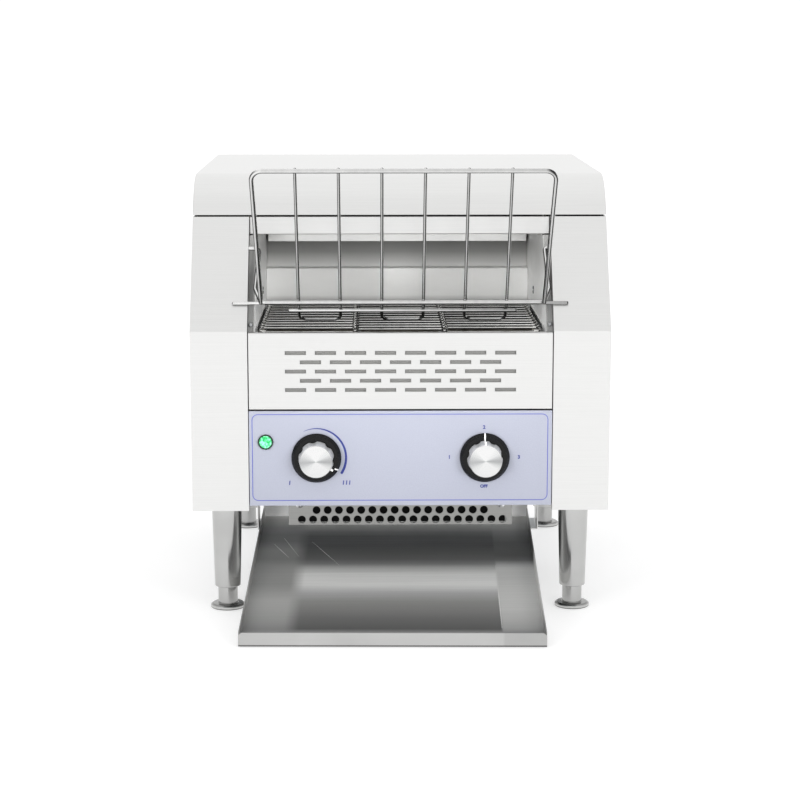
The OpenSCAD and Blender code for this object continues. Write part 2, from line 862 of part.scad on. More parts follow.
module control_overlay() {
    color("#c6cbdd") in_place() difference() {
        block([-panel_x, overlay_y, control_z], [panel_x, panel_back, control_top]);
        for (s = [-1, 1])
            along_y(s * knob_x, knob_z, overlay_y - cut, panel_back + cut, control_bush_d + bush_play);
        along_y(lamp_x, lamp_z, overlay_y - cut, panel_back + cut, lamp_body_d + bush_play);
    }
}

guard_edge = 1.4;
guard_row = 8.6;
guard_over = 2;

module perforated_guard() {
    low = under_z - guard_drop;
    row_z = low + guard_hole / 2 + guard_edge;
    color("#b4b6b8") in_place() difference() {
        block([-guard_w / 2, guard_back, low], [guard_w / 2, guard_back + sheet_t, control_z + guard_over]);
        for (i = [0:guard_count - 1])
            along_y((i - (guard_count - 1) / 2) * guard_pitch + guard_shift, row_z,
                    guard_back - cut, guard_back + sheet_t + cut, guard_hole);
        for (i = [0:guard_count - 4])
            along_y((i - (guard_count - 4) / 2) * guard_pitch, row_z + guard_row,
                    guard_back - cut, guard_back + sheet_t + cut, guard_hole);
        for (s = [-1, 1])
            along_y(s * guard_screw_x, guard_screw_z, guard_back - cut, guard_back + sheet_t + cut,
                    screw_d + screw_play);
    }
}

// Domed screw whose head sits at the origin and whose shank runs along +Y
module screw(len) {
    rotate([90, 0, 0]) intersection() {
        cylinder(h = head_h, d = screw_head);
        translate([0, 0, head_h - screw_head]) sphere(r = screw_head);
    }
    rotate([-90, 0, 0]) cylinder(h = len, d = screw_d);
}

module case_screws() {
    color("#d4d6d8") in_place() {
        for (s = [-1, 1]) {
            translate([s * guard_screw_x, guard_back, guard_screw_z]) screw(shank_l);
            for (z = rear_screw_z)
                translate([s * rear_screw_x, case_d, z]) rotate([0, 0, 180]) screw(shank_l);
            translate([s * cap_screw_x, case_d, seam_z + cap_h / 2]) rotate([0, 0, 180]) screw(shank_l);
        }
    }
}

// ---------- heaters ----------

heater_pin = 8;
heater_pin_d = heater_d * 0.5;

module heater_bank(y0, z) {
    reach = plate_x + sheet_t + heater_end;
    for (i = [0:heater_count - 1]) {
        y = y0 + i * heater_pitch;
        along_x(y, z, -reach, reach, heater_d);
        for (s = [-1, 1])
            along_x(y, z, s > 0 ? reach : -reach - heater_pin, s > 0 ? reach + heater_pin : -reach,
                    heater_pin_d);
    }
}

module upper_heaters() {
    color("#6d6a66") in_place() heater_bank(upper_y0, heater_up_z);
}

module lower_heaters() {
    color("#6d6a66") in_place() heater_bank(heater_y0, heater_low_z);
}

// Ceramic collar that carries a heater rod in an inner plate
module collar(y, z) {
    outer = plate_x + sheet_t + collar_out;
    difference() {
        union() {
            along_x(y, z, plate_x - collar_in, outer, collar_d);
            along_x(y, z, plate_x + sheet_t, outer, collar_d + 2 * collar_rim);
        }
        along_x(y, z, plate_x - collar_in - cut, outer + cut, collar_bore);
    }
}

module heater_collars() {
    color("#ece6da") in_place() for (m = [0, 1]) mirror([m, 0, 0]) {
        for (i = [0:heater_count - 1]) {
            collar(heater_y0 + i * heater_pitch, heater_low_z);
            collar(upper_y0 + i * heater_pitch, heater_up_z);
        }
    }
}

// ---------- belt ----------

// Place of strand i on the loop, as [depth, height] from the front shaft
function belt_spot(i) =
    i <= belt_run ? [i * belt_pitch, belt_r]
    : i < belt_run + belt_turn / 2
        ? [belt_len + belt_r * sin((i - belt_run) * 360 / belt_turn),
           belt_r * cos((i - belt_run) * 360 / belt_turn)]
    : i <= 2 * belt_run + belt_turn / 2
        ? [belt_len - (i - belt_run - belt_turn / 2) * belt_pitch, -belt_r]
    : [-belt_r * sin((i - 2 * belt_run - belt_turn / 2) * 360 / belt_turn),
       -belt_r * cos((i - 2 * belt_run - belt_turn / 2) * 360 / belt_turn)];

function belt_point(i, x) = [x, belt_front + belt_spot(i)[0], belt_z + belt_spot(i)[1]];

module conveyor_belt() {
    color("#a9abad") in_place() for (i = [0:belt_n - 1]) {
        j = (i + 1) % belt_n;
        bar(belt_point(i, -belt_w / 2), belt_point(i, belt_w / 2), belt_wire);
        for (x = [-link_out_x, -link_x, link_x, link_out_x])
            bar(belt_point(i, x), belt_point(j, x), belt_link);
    }
}

guide_front = 10;
guide_rear = 8;
guide_over = 1.5;

// Strips on the inner plates that keep the belt in line
module belt_guides() {
    color("#d5d7d9") in_place() for (m = [0, 1]) mirror([m, 0, 0]) {
        top = belt_top + belt_wire / 2 + guide_over;
        block([plate_x - guide_t, belt_front + guide_front, top - guide_h],
              [plate_x, belt_back - guide_rear, top]);
    }
}

// Ends and hubs of the shafts
shaft_over = 7;
chain_over = 5;
shaft_end = plate_x + sheet_t + shaft_over;
fit_gap = 0.02;
pocket_r = 5;
pocket_out = 2;
hub_t = 3;
hub_wall = 2.5;
bush_d = shaft_d + 2 * bush_wall;
bush_in = 0.4;
bush_out = 4;
bush_rim = 2.5;
bush_rim_t = 2;

module front_shaft() {
    color("#b5b7b9") in_place() along_x(belt_front, belt_z, -shaft_end, shaft_end, shaft_d);
}

module rear_shaft() {
    color("#b5b7b9") in_place() along_x(belt_back, belt_z, -shaft_end, chain_x + chain_over, shaft_d);
}

// Star wheel beside a row of links, whose tips run under the belt's strands
module belt_sprocket(x) {
    translate([x - sprocket_t / 2, 0, 0]) rotate([90, 0, 90]) linear_extrude(sprocket_t) difference() {
        circle(r = tip_r);
        for (i = [0:belt_turn - 1])
            rotate([0, 0, (i + 0.5) * 360 / belt_turn])
                translate([tip_r + pocket_out, 0]) circle(r = pocket_r);
        circle(d = shaft_d + 2 * fit_gap);
    }
}

module sprocket_set(y) {
    translate([0, y, belt_z]) for (s = [-1, 1], link = [link_x, link_out_x]) {
        x = s * (link - sprocket_in);
        belt_sprocket(x);
        translate([x - sprocket_t / 2 - hub_t, 0, 0]) rotate([0, 90, 0]) difference() {
            cylinder(h = hub_t, d = shaft_d + 2 * hub_wall);
            translate([0, 0, -cut]) cylinder(h = hub_t + 2 * cut, d = shaft_d + 2 * fit_gap);
        }
    }
}

module front_sprockets() {
    color("#8f9193") in_place() sprocket_set(belt_front);
}

module rear_sprockets() {
    color("#8f9193") in_place() sprocket_set(belt_back);
}

module bush(y) {
    outer = plate_x + sheet_t + bush_out;
    difference() {
        union() {
            along_x(y, belt_z, plate_x - bush_in, outer, bush_d);
            along_x(y, belt_z, plate_x + sheet_t, plate_x + sheet_t + bush_rim_t, bush_d + 2 * bush_rim);
        }
        along_x(y, belt_z, plate_x - bush_in - cut, outer + cut, shaft_d + 2 * run_gap);
    }
}

module shaft_bushes() {
    color("#b08d57") in_place() for (m = [0, 1]) mirror([m, 0, 0]) {
        bush(belt_front);
        bush(belt_back);
    }
}

// ---------- drive ----------

roller_r = 1.7;
wheel_hub_t = 5;
wheel_hub_wall = 3;
output_in = 24;

// Chain wheel with gullets between its teeth
module chain_wheel(teeth, bore) {
    r = chain_pitch / (2 * sin(180 / teeth));
    rotate([0, 90, 0]) difference() {
        union() {
            linear_extrude(wheel_t) difference() {
                circle(r = r - chain_gap);
                for (i = [0:teeth - 1])
                    rotate([0, 0, i * 360 / teeth]) translate([r, 0]) circle(r = roller_r, $fn = 24);
            }
            translate([0, 0, -wheel_hub_t]) cylinder(h = wheel_hub_t, d = bore + 2 * wheel_hub_wall);
        }
        translate([0, 0, -wheel_hub_t - cut]) cylinder(h = wheel_t + wheel_hub_t + 2 * cut, d = bore);
    }
}

module driven_sprocket() {
    color("#77797b") in_place() translate([chain_x - wheel_t / 2, belt_back, belt_z])
        chain_wheel(driven_teeth, shaft_d + 2 * fit_gap);
}

module motor_sprocket() {
    color("#77797b") in_place() translate([chain_x - wheel_t / 2, motor_y, motor_z])
        chain_wheel(motor_teeth, output_d + 2 * fit_gap);
}

module motor_shaft() {
    color("#b5b7b9") in_place()
        along_x(motor_y, motor_z, plate_x - output_in, chain_x + chain_over, output_d);
}

// Outline round both wheels, at a distance out from their pitch circles
module chain_outline(out) {
    gap = [motor_y - belt_back, motor_z - belt_z];
    dist = norm(gap);
    side = acos((driven_pr - motor_pr) / dist);
    steps = 24;
    translate([belt_back, belt_z]) rotate([0, 0, atan2(gap[1], gap[0])]) polygon([
        for (i = [0:steps]) let (a = side + i * (360 - 2 * side) / steps)
            [(driven_pr + out) * cos(a), (driven_pr + out) * sin(a)],
        for (i = [0:steps]) let (a = -side + i * 2 * side / steps)
            [dist + (motor_pr + out) * cos(a), (motor_pr + out) * sin(a)]
    ]);
}

module drive_chain() {
    color("#5c5e60") in_place() across(chain_x - chain_w / 2, chain_x + chain_w / 2) difference() {
        chain_outline(chain_t / 2 + chain_gap);
        chain_outline(0);
    }
}

boss_t = 3;
boss_wall = 4;
bolt_head_d = 6;
bolt_head_t = 3;
bolt_in = 7;

module gearmotor() {
    bolt_out = gearbox_w / 2 - bolt_in;
    front = plate_x - lay_gap;
    color("#9a9c9e") in_place() difference() {
        union() {
            block([front - gearbox_t, motor_y - gearbox_w / 2, motor_z - gearbox_w / 2],
                  [front, motor_y + gearbox_w / 2, motor_z + gearbox_w / 2]);
            along_x(motor_y, motor_z, front - gearbox_t - motor_len, front - gearbox_t, motor_d);
            along_x(motor_y, motor_z, front, front + boss_t, output_d + 2 * boss_wall);
            for (sy = [-1, 1], sz = [-1, 1])
                along_x(motor_y + sy * bolt_out, motor_z + sz * bolt_out,
                        front - gearbox_t - bolt_head_t, front - gearbox_t, bolt_head_d);
        }
        along_x(motor_y, motor_z, front - output_in - cut, front + boss_t + cut, output_d + 2 * run_gap);
    }
}

// ---------- fan ----------

module fan_frame() {
    color("#2c2d2f") in_place() translate([fan_x, fan_y, fan_z]) rotate([-90, 0, 0]) {
        difference() {
            translate([0, 0, fan_t / 2]) cube([fan_w, fan_w, fan_t], center = true);
            translate([0, 0, -cut]) cylinder(h = fan_t + 2 * cut, d = fan_w - 2 * fan_wall);
        }
        cylinder(h = fan_spoke_t, d = fan_hub * 0.8);
        for (a = [0:90:270]) rotate([0, 0, a + 45])
            translate([0, -fan_spoke_w / 2, 0]) cube([fan_w / 2, fan_spoke_w, fan_spoke_t]);
        cylinder(h = fan_t - 2 * fan_play, d = fan_pin);
    }
}

module fan_rotor() {
    blade_r = fan_w / 2 - fan_wall - blade_gap;
    hub_z = fan_spoke_t + fan_play;
    hub_h = fan_t - hub_z - 2 * fan_play;
    color("#1f2022") in_place() translate([fan_x, fan_y, fan_z]) rotate([-90, 0, 0]) difference() {
        intersection() {
            union() {
                translate([0, 0, hub_z]) cylinder(h = hub_h, d = fan_hub);
                for (i = [0:fan_blades - 1]) rotate([0, 0, i * 360 / fan_blades])
                    translate([0, 0, hub_z + hub_h / 2]) rotate([blade_turn, 0, 0])
                        translate([0, -blade_w / 2, -blade_t / 2]) cube([fan_w / 2, blade_w, blade_t]);
            }
            cylinder(h = fan_t, r = blade_r);
        }
        cylinder(h = fan_t, d = fan_pin + 2 * run_gap);
    }
}

// ---------- controls ----------

spindle_in = 7;
spindle_out = 6;
pot_d = 26;
pot_t = 14;
switch_w = 42;
switch_t = 34;

module control_body(x, w, depth, round_body) {
    back = panel_back + sheet_t;
    difference() {
        union() {
            if (round_body) along_y(x, knob_z, back, back + depth, w);
            else block([x - w / 2, back, knob_z - w / 2], [x + w / 2, back + depth, knob_z + w / 2]);
            along_y(x, knob_z, overlay_y, back, control_bush_d);
        }
        along_y(x, knob_z, overlay_y - cut, back + spindle_in + cut, spindle_d + 2 * run_gap);
    }
}

module speed_control() {
    color("#3b3d40") in_place() control_body(-knob_x, pot_d, pot_t, true);
}

module selector_switch() {
    color("#3b3d40") in_place() control_body(knob_x, switch_w, switch_t, false);
}

module spindle(x) {
    along_y(x, knob_z, knob_back - skirt_t - spindle_out, panel_back + sheet_t + spindle_in, spindle_d);
}

module speed_spindle() {
    color("#c8c9cb") in_place() spindle(-knob_x);
}

module selector_spindle() {
    color("#c8c9cb") in_place() spindle(knob_x);
}

skirt_edge = 1.4;
skirt_bevel = 2.6;

// Black skirt with a bevelled rim, facing -Y
module skirt() {
    rotate([90, 0, 0]) difference() {
        rotate_extrude() polygon([
            [0, 0], [skirt_d / 2, 0], [skirt_d / 2, skirt_edge],
            [skirt_d / 2 - skirt_bevel, skirt_t], [0, skirt_t]
        ]);
        translate([0, 0, -cut]) cylinder(h = skirt_t + 2 * cut, d = spindle_d + 2 * fit_gap);
    }
}

lobe_in = 1.4;
grip_step = 1.5;
hollow_r = 5.4;
hollow_out = 3.9;

// Round metal grip with lobes that taper towards its front
module grip(angle) {
    core = grip_d / 2 - lobe_in;
    rotate([90, 0, 0]) rotate([0, 0, angle]) difference() {
        union() {
            intersection() {
                linear_extrude(grip_len - grip_step) difference() {
                    circle(d = grip_d);
                    for (i = [0:grip_lobes - 1])
                        rotate([0, 0, (i + 0.5) * 360 / grip_lobes])
                            translate([grip_d / 2 + hollow_out, 0]) circle(r = hollow_r);
                }
                cylinder(h = grip_len, r1 = grip_d / 2, r2 = core);
            }
            cylinder(h = grip_len, r = core);
        }
        translate([0, 0, -cut]) cylinder(h = spindle_out + 2 * cut, d = spindle_d + 2 * fit_gap);
    }
}

module speed_knob() {
    color("#1c1d20") in_place() translate([-knob_x, knob_back, knob_z]) skirt();
}

module selector_knob() {
    color("#1c1d20") in_place() translate([knob_x, knob_back, knob_z]) skirt();
}

module speed_knob_grip() {
    color("#d9dbdd") in_place() translate([-knob_x, knob_back - skirt_t, knob_z]) grip(speed_angle);
}

module selector_knob_grip() {
    color("#d9dbdd") in_place() translate([knob_x, knob_back - skirt_t, knob_z]) grip(90);
}

bezel_t = 2;
lens_in = 0.8;
lamp_body_t = 18;
lens_low_d = lamp_d * 0.5;
lens_top_d = lamp_d * 0.8;
lens_play = 0.2;

module lamp_bezel() {
    back = panel_back + sheet_t;
    color("#14351f") in_place() difference() {
        union() {
            along_y(lamp_x, lamp_z, overlay_y - bezel_t, overlay_y, lamp_d);
            along_y(lamp_x, lamp_z, overlay_y - lens_in, back + lamp_body_t, lamp_body_d);
        }
        along_y(lamp_x, lamp_z, overlay_y - bezel_t - cut, overlay_y + 2 * bezel_t, lens_low_d);
        along_y(lamp_x, lamp_z, overlay_y - bezel_t - cut, overlay_y - lens_in, lens_top_d);
    }
}

module lamp_lens() {
    color("#35d36f") in_place() {
        along_y(lamp_x, lamp_z, overlay_y - lens_in, overlay_y + 2 * bezel_t - lens_play,
                lens_low_d - lens_play);
        intersection() {
            along_y(lamp_x, lamp_z, overlay_y - 2 * bezel_t, overlay_y - lens_in, lens_top_d - lens_play);
            translate([lamp_x, overlay_y + lamp_d * 0.45, lamp_z]) sphere(r = lamp_d * 0.7);
        }
    }
}

// ---------- feed rack ----------

// Frame hoop, its foot bar with the hooks inside the columns, hanger rod and rest rod
module rack_frame() {
    color("#c3c5c7") in_place() {
        wire([
            [rack_shift - rack_foot_half, foot_y, foot_z],
            [rack_shift - rack_half, -rack_out, rack_top_z],
            [rack_shift + rack_half, -rack_out, rack_top_z],
            [rack_shift + rack_foot_half, foot_y, foot_z]
        ], rack_bend, rack_wire);
        wire([
            [-hook_end, slope_y(hook_top) + hook_gap, hook_top],
            [rack_shift - hook_x + hook_lean, slope_y(hook_top) + hook_gap, hook_top],
            [rack_shift - hook_x, slope_y(hook_z) + hook_gap, hook_z],
            [rack_shift - rack_foot_half, foot_y, foot_z],
            [rack_shift + rack_foot_half, foot_y, foot_z],
            [rack_shift + hook_x, slope_y(hook_z) + hook_gap, hook_z],
            [rack_shift + hook_x - hook_lean, slope_y(hook_top) + hook_gap, hook_top],
            [hook_end, slope_y(hook_top) + hook_gap, hook_top]
        ], hook_bend, foot_wire);
        bar([-hanger_len / 2, hanger_y, hanger_z], [hanger_len / 2, hanger_y, hanger_z], hanger_d);
    }
}

rest_over = 8;

// Rod that ties the uprights together above the belt's front end
module rack_rest_rod() {
    half = (rack_loops - 0.5) * rack_pitch + rest_over;
    color("#c3c5c7") in_place()
        bar([rack_shift - half, rest_y, rest_z], [rack_shift + half, rest_y, rest_z], rest_d);
}

upright_over = 3;

// Uprights that bend in over the belt and join in pairs as U loops
module rack_uprights() {
    n = 2 * rack_loops;
    tip = top_back + upright_over * [-sin(rack_lean), cos(rack_lean)];
    color("#b9bbbd") in_place() difference() {
        for (i = [0:rack_loops - 1]) {
            x0 = rack_shift + (2 * i - (n - 1) / 2) * rack_pitch;
            x1 = x0 + rack_pitch;
            wire([
                [x0, tip[0], tip[1]],
                [x0, bend_back[0], bend_back[1]],
                [x0, loop_y, loop_z],
                [x1, loop_y, loop_z],
                [x1, bend_back[0], bend_back[1]],
                [x1, tip[0], tip[1]]
            ], loop_bend, rack_thin);
        }
        for (p = [
            [-rack_out, rack_top_z, rack_wire], [foot_y, foot_z, foot_wire],
            [hanger_y, hanger_z, hanger_d], [rest_y, rest_z, rest_d]
        ]) along_x(p[0], p[1], -hanger_len / 2, hanger_len / 2, p[2] + 2 * fit_gap);
    }
}

// ---------- tray ----------

function tray_floor(y) = tray_float + (y + tray_l) * tan(tray_slope);

module tray_side(t) {
    polygon([
        [-tray_l + t, tray_floor(-tray_l) + t],
        [-tray_l + t, tray_float + tray_lip + (t > 0 ? cut : 0)],
        [-t, tray_floor(0) + tray_wall + (t > 0 ? cut : 0)],
        [-t, tray_floor(0) + t]
    ]);
}

lip_cut = 2.6;
lip_cut_len = 6;

// Sloping tray whose front lip has its upper corners cut off
module collecting_tray() {
    color("#a8aaac") in_place() translate([tray_shift, tray_rear, 0]) rotate([0, 0, -tray_turn]) {
        difference() {
            across(-tray_w / 2, tray_w / 2) tray_side(0);
            across(-tray_w / 2 + tray_t, tray_w / 2 - tray_t) tray_side(tray_t);
            for (s = [-1, 1]) translate([s * tray_w / 2, -tray_l, tray_float + tray_lip])
                rotate([0, 45, 0]) cube([lip_cut * sqrt(2), lip_cut_len, lip_cut * sqrt(2)], center = true);
        }
        block([-tray_w / 2, -tray_t, tray_floor(0)], [tray_w / 2, 0, tray_floor(0) + tray_back]);
    }
}

tray_seat = 0.3;
bracket_gap = 3;
bracket_len = 30;
bracket_in = 4;
bracket_foot = 12;

// Brackets under the casing whose feet the tray's rear corners rest on
module tray_brackets() {
    inner = tray_w / 2 + abs(tray_shift) + bracket_gap;
    y1 = tray_rear - bracket_in;
    y0 = y1 - bracket_len;
    color("#c9cbcd") in_place() for (s = [-1, 1]) {
        x0 = s > 0 ? inner : -inner - sheet_t;
        z0 = tray_floor(y0 - tray_rear) - tray_seat;
        z1 = tray_floor(y1 - tray_rear) - tray_seat;
        across(x0, x0 + sheet_t) polygon([
            [y0, z0 - sheet_t], [y0, under_z], [y1, under_z], [y1, z1 - sheet_t]
        ]);
        across(s > 0 ? inner - bracket_foot : -inner, s > 0 ? inner : -inner + bracket_foot) polygon([
            [y0, z0 - sheet_t], [y0, z0], [y1, z1], [y1, z1 - sheet_t]
        ]);
    }
}

// ---------- legs ----------

leg_round = 0.8;
leg_band = 2;
stud_up = 10;
foot_round = 0.8;
foot_slope = 2.2;
foot_edge = foot_t - 1.2;
nut_t = 6.5;

// Tapered leg with a bore for its adjuster and a stud through the bottom plate
module leg() {
    leg_h = under_z - leg_low;
    difference() {
        union() {
            translate([0, 0, leg_low]) rotate_extrude() polygon([
                [0, 0], [leg_low_d / 2 - leg_round, 0], [leg_low_d / 2, leg_round],
                [leg_top_d / 2, leg_h - leg_band], [leg_top_d / 2, leg_h], [0, leg_h]
            ]);
            translate([0, 0, under_z - cut]) cylinder(h = sheet_t + stud_up + cut, d = stud_d);
        }
        translate([0, 0, leg_low - cut]) cylinder(h = stem_in + cut, d = stem_d + 2 * run_gap);
    }
}

module legs() {
    color("#cfd1d3") in_place() for (sx = [-1, 1], y = leg_y) translate([sx * leg_x, y, 0]) leg();
}

module leg_nuts() {
    color("#b9bbbd") in_place() for (sx = [-1, 1], y = leg_y)
        translate([sx * leg_x, y, deck_z]) difference() {
            cylinder(h = nut_t, r = stud_d * 0.9, $fn = 6);
            translate([0, 0, -cut]) cylinder(h = nut_t + 2 * cut, d = stud_d + 2 * run_gap);
        }
}

// Adjustable foot: plate with a bevelled rim and a stem that runs in the leg
module foot(sx, y) {
    color("#c6c8ca") in_place() translate([sx * leg_x, y, 0]) rotate_extrude() polygon([
        [0, 0], [foot_d / 2 - foot_round, 0], [foot_d / 2, foot_round], [foot_d / 2, foot_edge],
        [foot_d / 2 - foot_slope, foot_t], [stem_d / 2, foot_t], [stem_d / 2, stem_top - foot_round],
        [stem_d / 2 - foot_round, stem_top], [0, stem_top]
    ]);
}

module foot_front_left() {
    foot(-1, leg_y[0]);
}

module foot_front_right() {
    foot(1, leg_y[0]);
}

module foot_rear_left() {
    foot(-1, leg_y[1]);
}

module foot_rear_right() {
    foot(1, leg_y[1]);
}

// ---------- electrics ----------

gland_in = 12;
gland_nut_t = 5;
gland_cap_t = 3;
gland_body_d = gland_d * 0.86;
gland_tip_d = gland_d * 0.68;

module cable_gland() {
    gland_end = case_d + gland_out;
    color("#26272a") in_place() difference() {
        union() {
            along_y(gland_x, gland_z, rear_in - gland_in, case_d, gland_thread_d);
            for (y = [case_d, rear_in - gland_nut_t])
                translate([gland_x, y, gland_z]) rotate([-90, 0, 0])
                    cylinder(h = gland_nut_t, d = gland_d, $fn = 6);
            along_y(gland_x, gland_z, case_d + gland_nut_t - cut, gland_end - gland_cap_t, gland_body_d);
            translate([gland_x, gland_end - gland_cap_t, gland_z]) rotate([-90, 0, 0])
                cylinder(h = gland_cap_t, d1 = gland_body_d, d2 = gland_tip_d);
        }
        along_y(gland_x, gland_z, rear_in - gland_in - cut, gland_end + cut, gland_bore);
    }
}

poles = 5;
pole_w = 11;
pole_bore = 6;
block_in = 10;
block_back = 34;
block_d = 18;
block_h = 16;

module terminal_block() {
    x0 = block_in - plate_x;
    y0 = back_y + block_back;
    color("#efe9d8") in_place() difference() {
        block([x0, y0, deck_z], [x0 + poles * pole_w, y0 + block_d, deck_z + block_h]);
        for (i = [0:poles - 1])
            translate([x0 + (i + 0.5) * pole_w, y0 + block_d / 2, deck_z + block_h / 2])
                cylinder(h = block_h, d = pole_bore);
    }
}

board_x = -30;
board_in = 60;
board_w = 80;
board_d = 46;
board_t = 1.6;
post_h = 8;
post_d = 6;
post_in = 5;
sink_place = [12, 8];
sink_size = [30, 16, 18.4];
cap_place = [60, 24];
cap_size = [13, 22];

// Circuit board on four posts, with its heat sink and capacitor
module control_board() {
    corner = [board_x, plate_back + board_in, deck_z];
    top = post_h + board_t;
    color("#2f6b45") in_place() translate(corner) {
        block([0, 0, post_h], [board_w, board_d, top]);
        for (x = [post_in, board_w - post_in], y = [post_in, board_d - post_in])
            translate([x, y, 0]) cylinder(h = post_h, d = post_d);
        translate([sink_place[0], sink_place[1], top]) cube(sink_size);
        translate([cap_place[0], cap_place[1], top]) cylinder(h = cap_size[1], d = cap_size[0]);
    }
}

cutout_x = 40;
cutout_up = 26;
cutout_d = 16;
cutout_t = 9;
cutout_rim = 4;
cutout_rim_t = 1;

module thermal_cutout() {
    y0 = back_y + back_set + sheet_t;
    z = step_z + cutout_up;
    color("#d8d3c6") in_place() {
        along_y(cutout_x, z, y0, y0 + cutout_t, cutout_d);
        along_y(cutout_x, z, y0, y0 + cutout_rim_t, cutout_d + 2 * cutout_rim);
    }
}

bottom_plate();
left_side_cover();
right_side_cover();
left_inner_plate();
right_inner_plate();
top_cover();
rear_cover();
front_header();
upper_reflector();
heat_shield();
back_panel_upper();
back_panel_lower();
toast_chute();
vent_panel();
control_panel();
control_overlay();
perforated_guard();
case_screws();
upper_heaters();
lower_heaters();
heater_collars();
conveyor_belt();
belt_guides();
front_shaft();
front_sprockets();
rear_shaft();
rear_sprockets();
driven_sprocket();
shaft_bushes();
gearmotor();
motor_shaft();
motor_sprocket();
drive_chain();
fan_frame();
fan_rotor();
speed_control();
speed_spindle();
speed_knob();
speed_knob_grip();
selector_switch();
selector_spindle();
selector_knob();
selector_knob_grip();
lamp_bezel();
lamp_lens();
rack_frame();
rack_rest_rod();
rack_uprights();
collecting_tray();
tray_brackets();
legs();
leg_nuts();
foot_front_left();
foot_front_right();
foot_rear_left();
foot_rear_right();
cable_gland();
terminal_block();
control_board();
thermal_cutout();
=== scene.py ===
import bpy, bmesh, json, math
from mathutils import Matrix, Vector


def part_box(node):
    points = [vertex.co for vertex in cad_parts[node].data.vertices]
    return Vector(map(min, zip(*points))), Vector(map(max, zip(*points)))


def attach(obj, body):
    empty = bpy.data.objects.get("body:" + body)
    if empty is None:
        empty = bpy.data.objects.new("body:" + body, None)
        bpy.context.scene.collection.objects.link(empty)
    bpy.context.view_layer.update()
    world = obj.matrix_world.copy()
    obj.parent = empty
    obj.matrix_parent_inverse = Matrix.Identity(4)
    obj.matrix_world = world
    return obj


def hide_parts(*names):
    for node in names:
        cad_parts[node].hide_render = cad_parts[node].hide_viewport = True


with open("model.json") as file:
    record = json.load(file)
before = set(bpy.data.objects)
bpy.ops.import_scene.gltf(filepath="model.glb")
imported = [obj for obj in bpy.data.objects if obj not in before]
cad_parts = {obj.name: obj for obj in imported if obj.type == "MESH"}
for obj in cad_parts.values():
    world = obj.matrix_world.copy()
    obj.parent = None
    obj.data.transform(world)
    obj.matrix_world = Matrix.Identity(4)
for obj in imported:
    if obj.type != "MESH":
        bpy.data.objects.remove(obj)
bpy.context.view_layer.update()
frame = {"nodes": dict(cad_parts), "record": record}
print("frame loaded:", len(frame["nodes"]), "nodes")

millimetre = 0.001
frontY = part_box("left_side_cover")[0].y      # the columns' front faces; lengths below are in mm from here


def place(x, y, z):
    # millimetres from the column fronts, the middle and the counter, to metres in the frame
    return Vector((x * millimetre, frontY + y * millimetre, z * millimetre))


# small tools

def toLinear(hexColour):
    parts = [int(hexColour[i:i + 2], 16) / 255 for i in (1, 3, 5)]
    return tuple(c / 12.92 if c <= 0.04045 else ((c + 0.055) / 1.055) ** 2.4 for c in parts) + (1.0,)


def addNode(tree, kind, feeds=None, stops=(), **settings):
    # a node with its settings, its values or links, and its colour stops if it has any
    made = tree.nodes.new(kind)
    for name, value in settings.items():
        setattr(made, name, value)
    for name, value in (feeds or {}).items():
        if isinstance(value, bpy.types.NodeSocket):
            tree.links.new(value, made.inputs[name])
        else:
            made.inputs[name].default_value = value
    if stops:
        points = made.color_ramp.elements
        while len(points) < len(stops):
            points.new(0.5)
        for point, (at, colour) in zip(points, stops):
            point.position = at
            point.color = toLinear(colour)
    return made


def startMaterial(name, **sockets):
    made = bpy.data.materials.new(name)
    made.use_nodes = True
    tree = made.node_tree
    tree.nodes.clear()
    fixed = {key.replace("_", " "): value for key, value in sockets.items()}
    shader = addNode(tree, "ShaderNodeBsdfPrincipled", fixed)
    addNode(tree, "ShaderNodeOutputMaterial", {"Surface": shader.outputs["BSDF"]})
    return made, tree, shader


def perMm(spacing):
    # texture scale, in cells a metre, for features that lie this many millimetres apart
    return 1000.0 / spacing


def addNoise(tree, spacings, detail):
    # noise whose features are this long in mm along X, Y and Z of the piece
    scales = [perMm(s) for s in spacings]
    spot = addNode(tree, "ShaderNodeTexCoord").outputs["Object"]
    grid = addNode(tree, "ShaderNodeMapping", {"Vector": spot, "Scale": scales})
    cloud = addNode(tree, "ShaderNodeTexNoise", {"Vector": grid.outputs["Vector"], "Scale": 1.0,
                                                 "Detail": detail, "Roughness": 0.55})
    return cloud.outputs["Fac"]


def addGloss(tree, shader, factor, gloss, height=0.0, spread=(0.3, 0.7)):
    # one pattern drives the roughness and, with a height in mm, the relief
    rough = addNode(tree, "ShaderNodeMapRange", {"Value": factor, "To Min": gloss[0], "To Max": gloss[1],
                                                 "From Min": spread[0], "From Max": spread[1]})
    tree.links.new(rough.outputs["Result"], shader.inputs["Roughness"])
    if height:
        bump = addNode(tree, "ShaderNodeBump", {"Height": factor, "Distance": height * millimetre,
                                                "Strength": 1.0})
        tree.links.new(bump.outputs["Normal"], shader.inputs["Normal"])


def addFinish(tree, shader, factor, colours, gloss, height=0.0, spread=(0.3, 0.7)):
    # the same pattern drives the colour as well
    tone = addNode(tree, "ShaderNodeValToRGB", {"Fac": factor}, list(zip(spread, colours)))
    tree.links.new(tone.outputs["Color"], shader.inputs["Base Color"])
    addGloss(tree, shader, factor, gloss, height, spread)


def addShade(tree, colour, factor, low, high):
    # multiplies a colour by low to high, as a pattern goes from its dark to its light
    share = addNode(tree, "ShaderNodeMapRange", {"Value": factor, "From Min": 0.3, "From Max": 0.7,
                                                 "To Min": low, "To Max": high})
    return addNode(tree, "ShaderNodeVectorMath", {"Vector": colour, "Scale": share.outputs["Result"]},
                   operation="SCALE").outputs["Vector"]


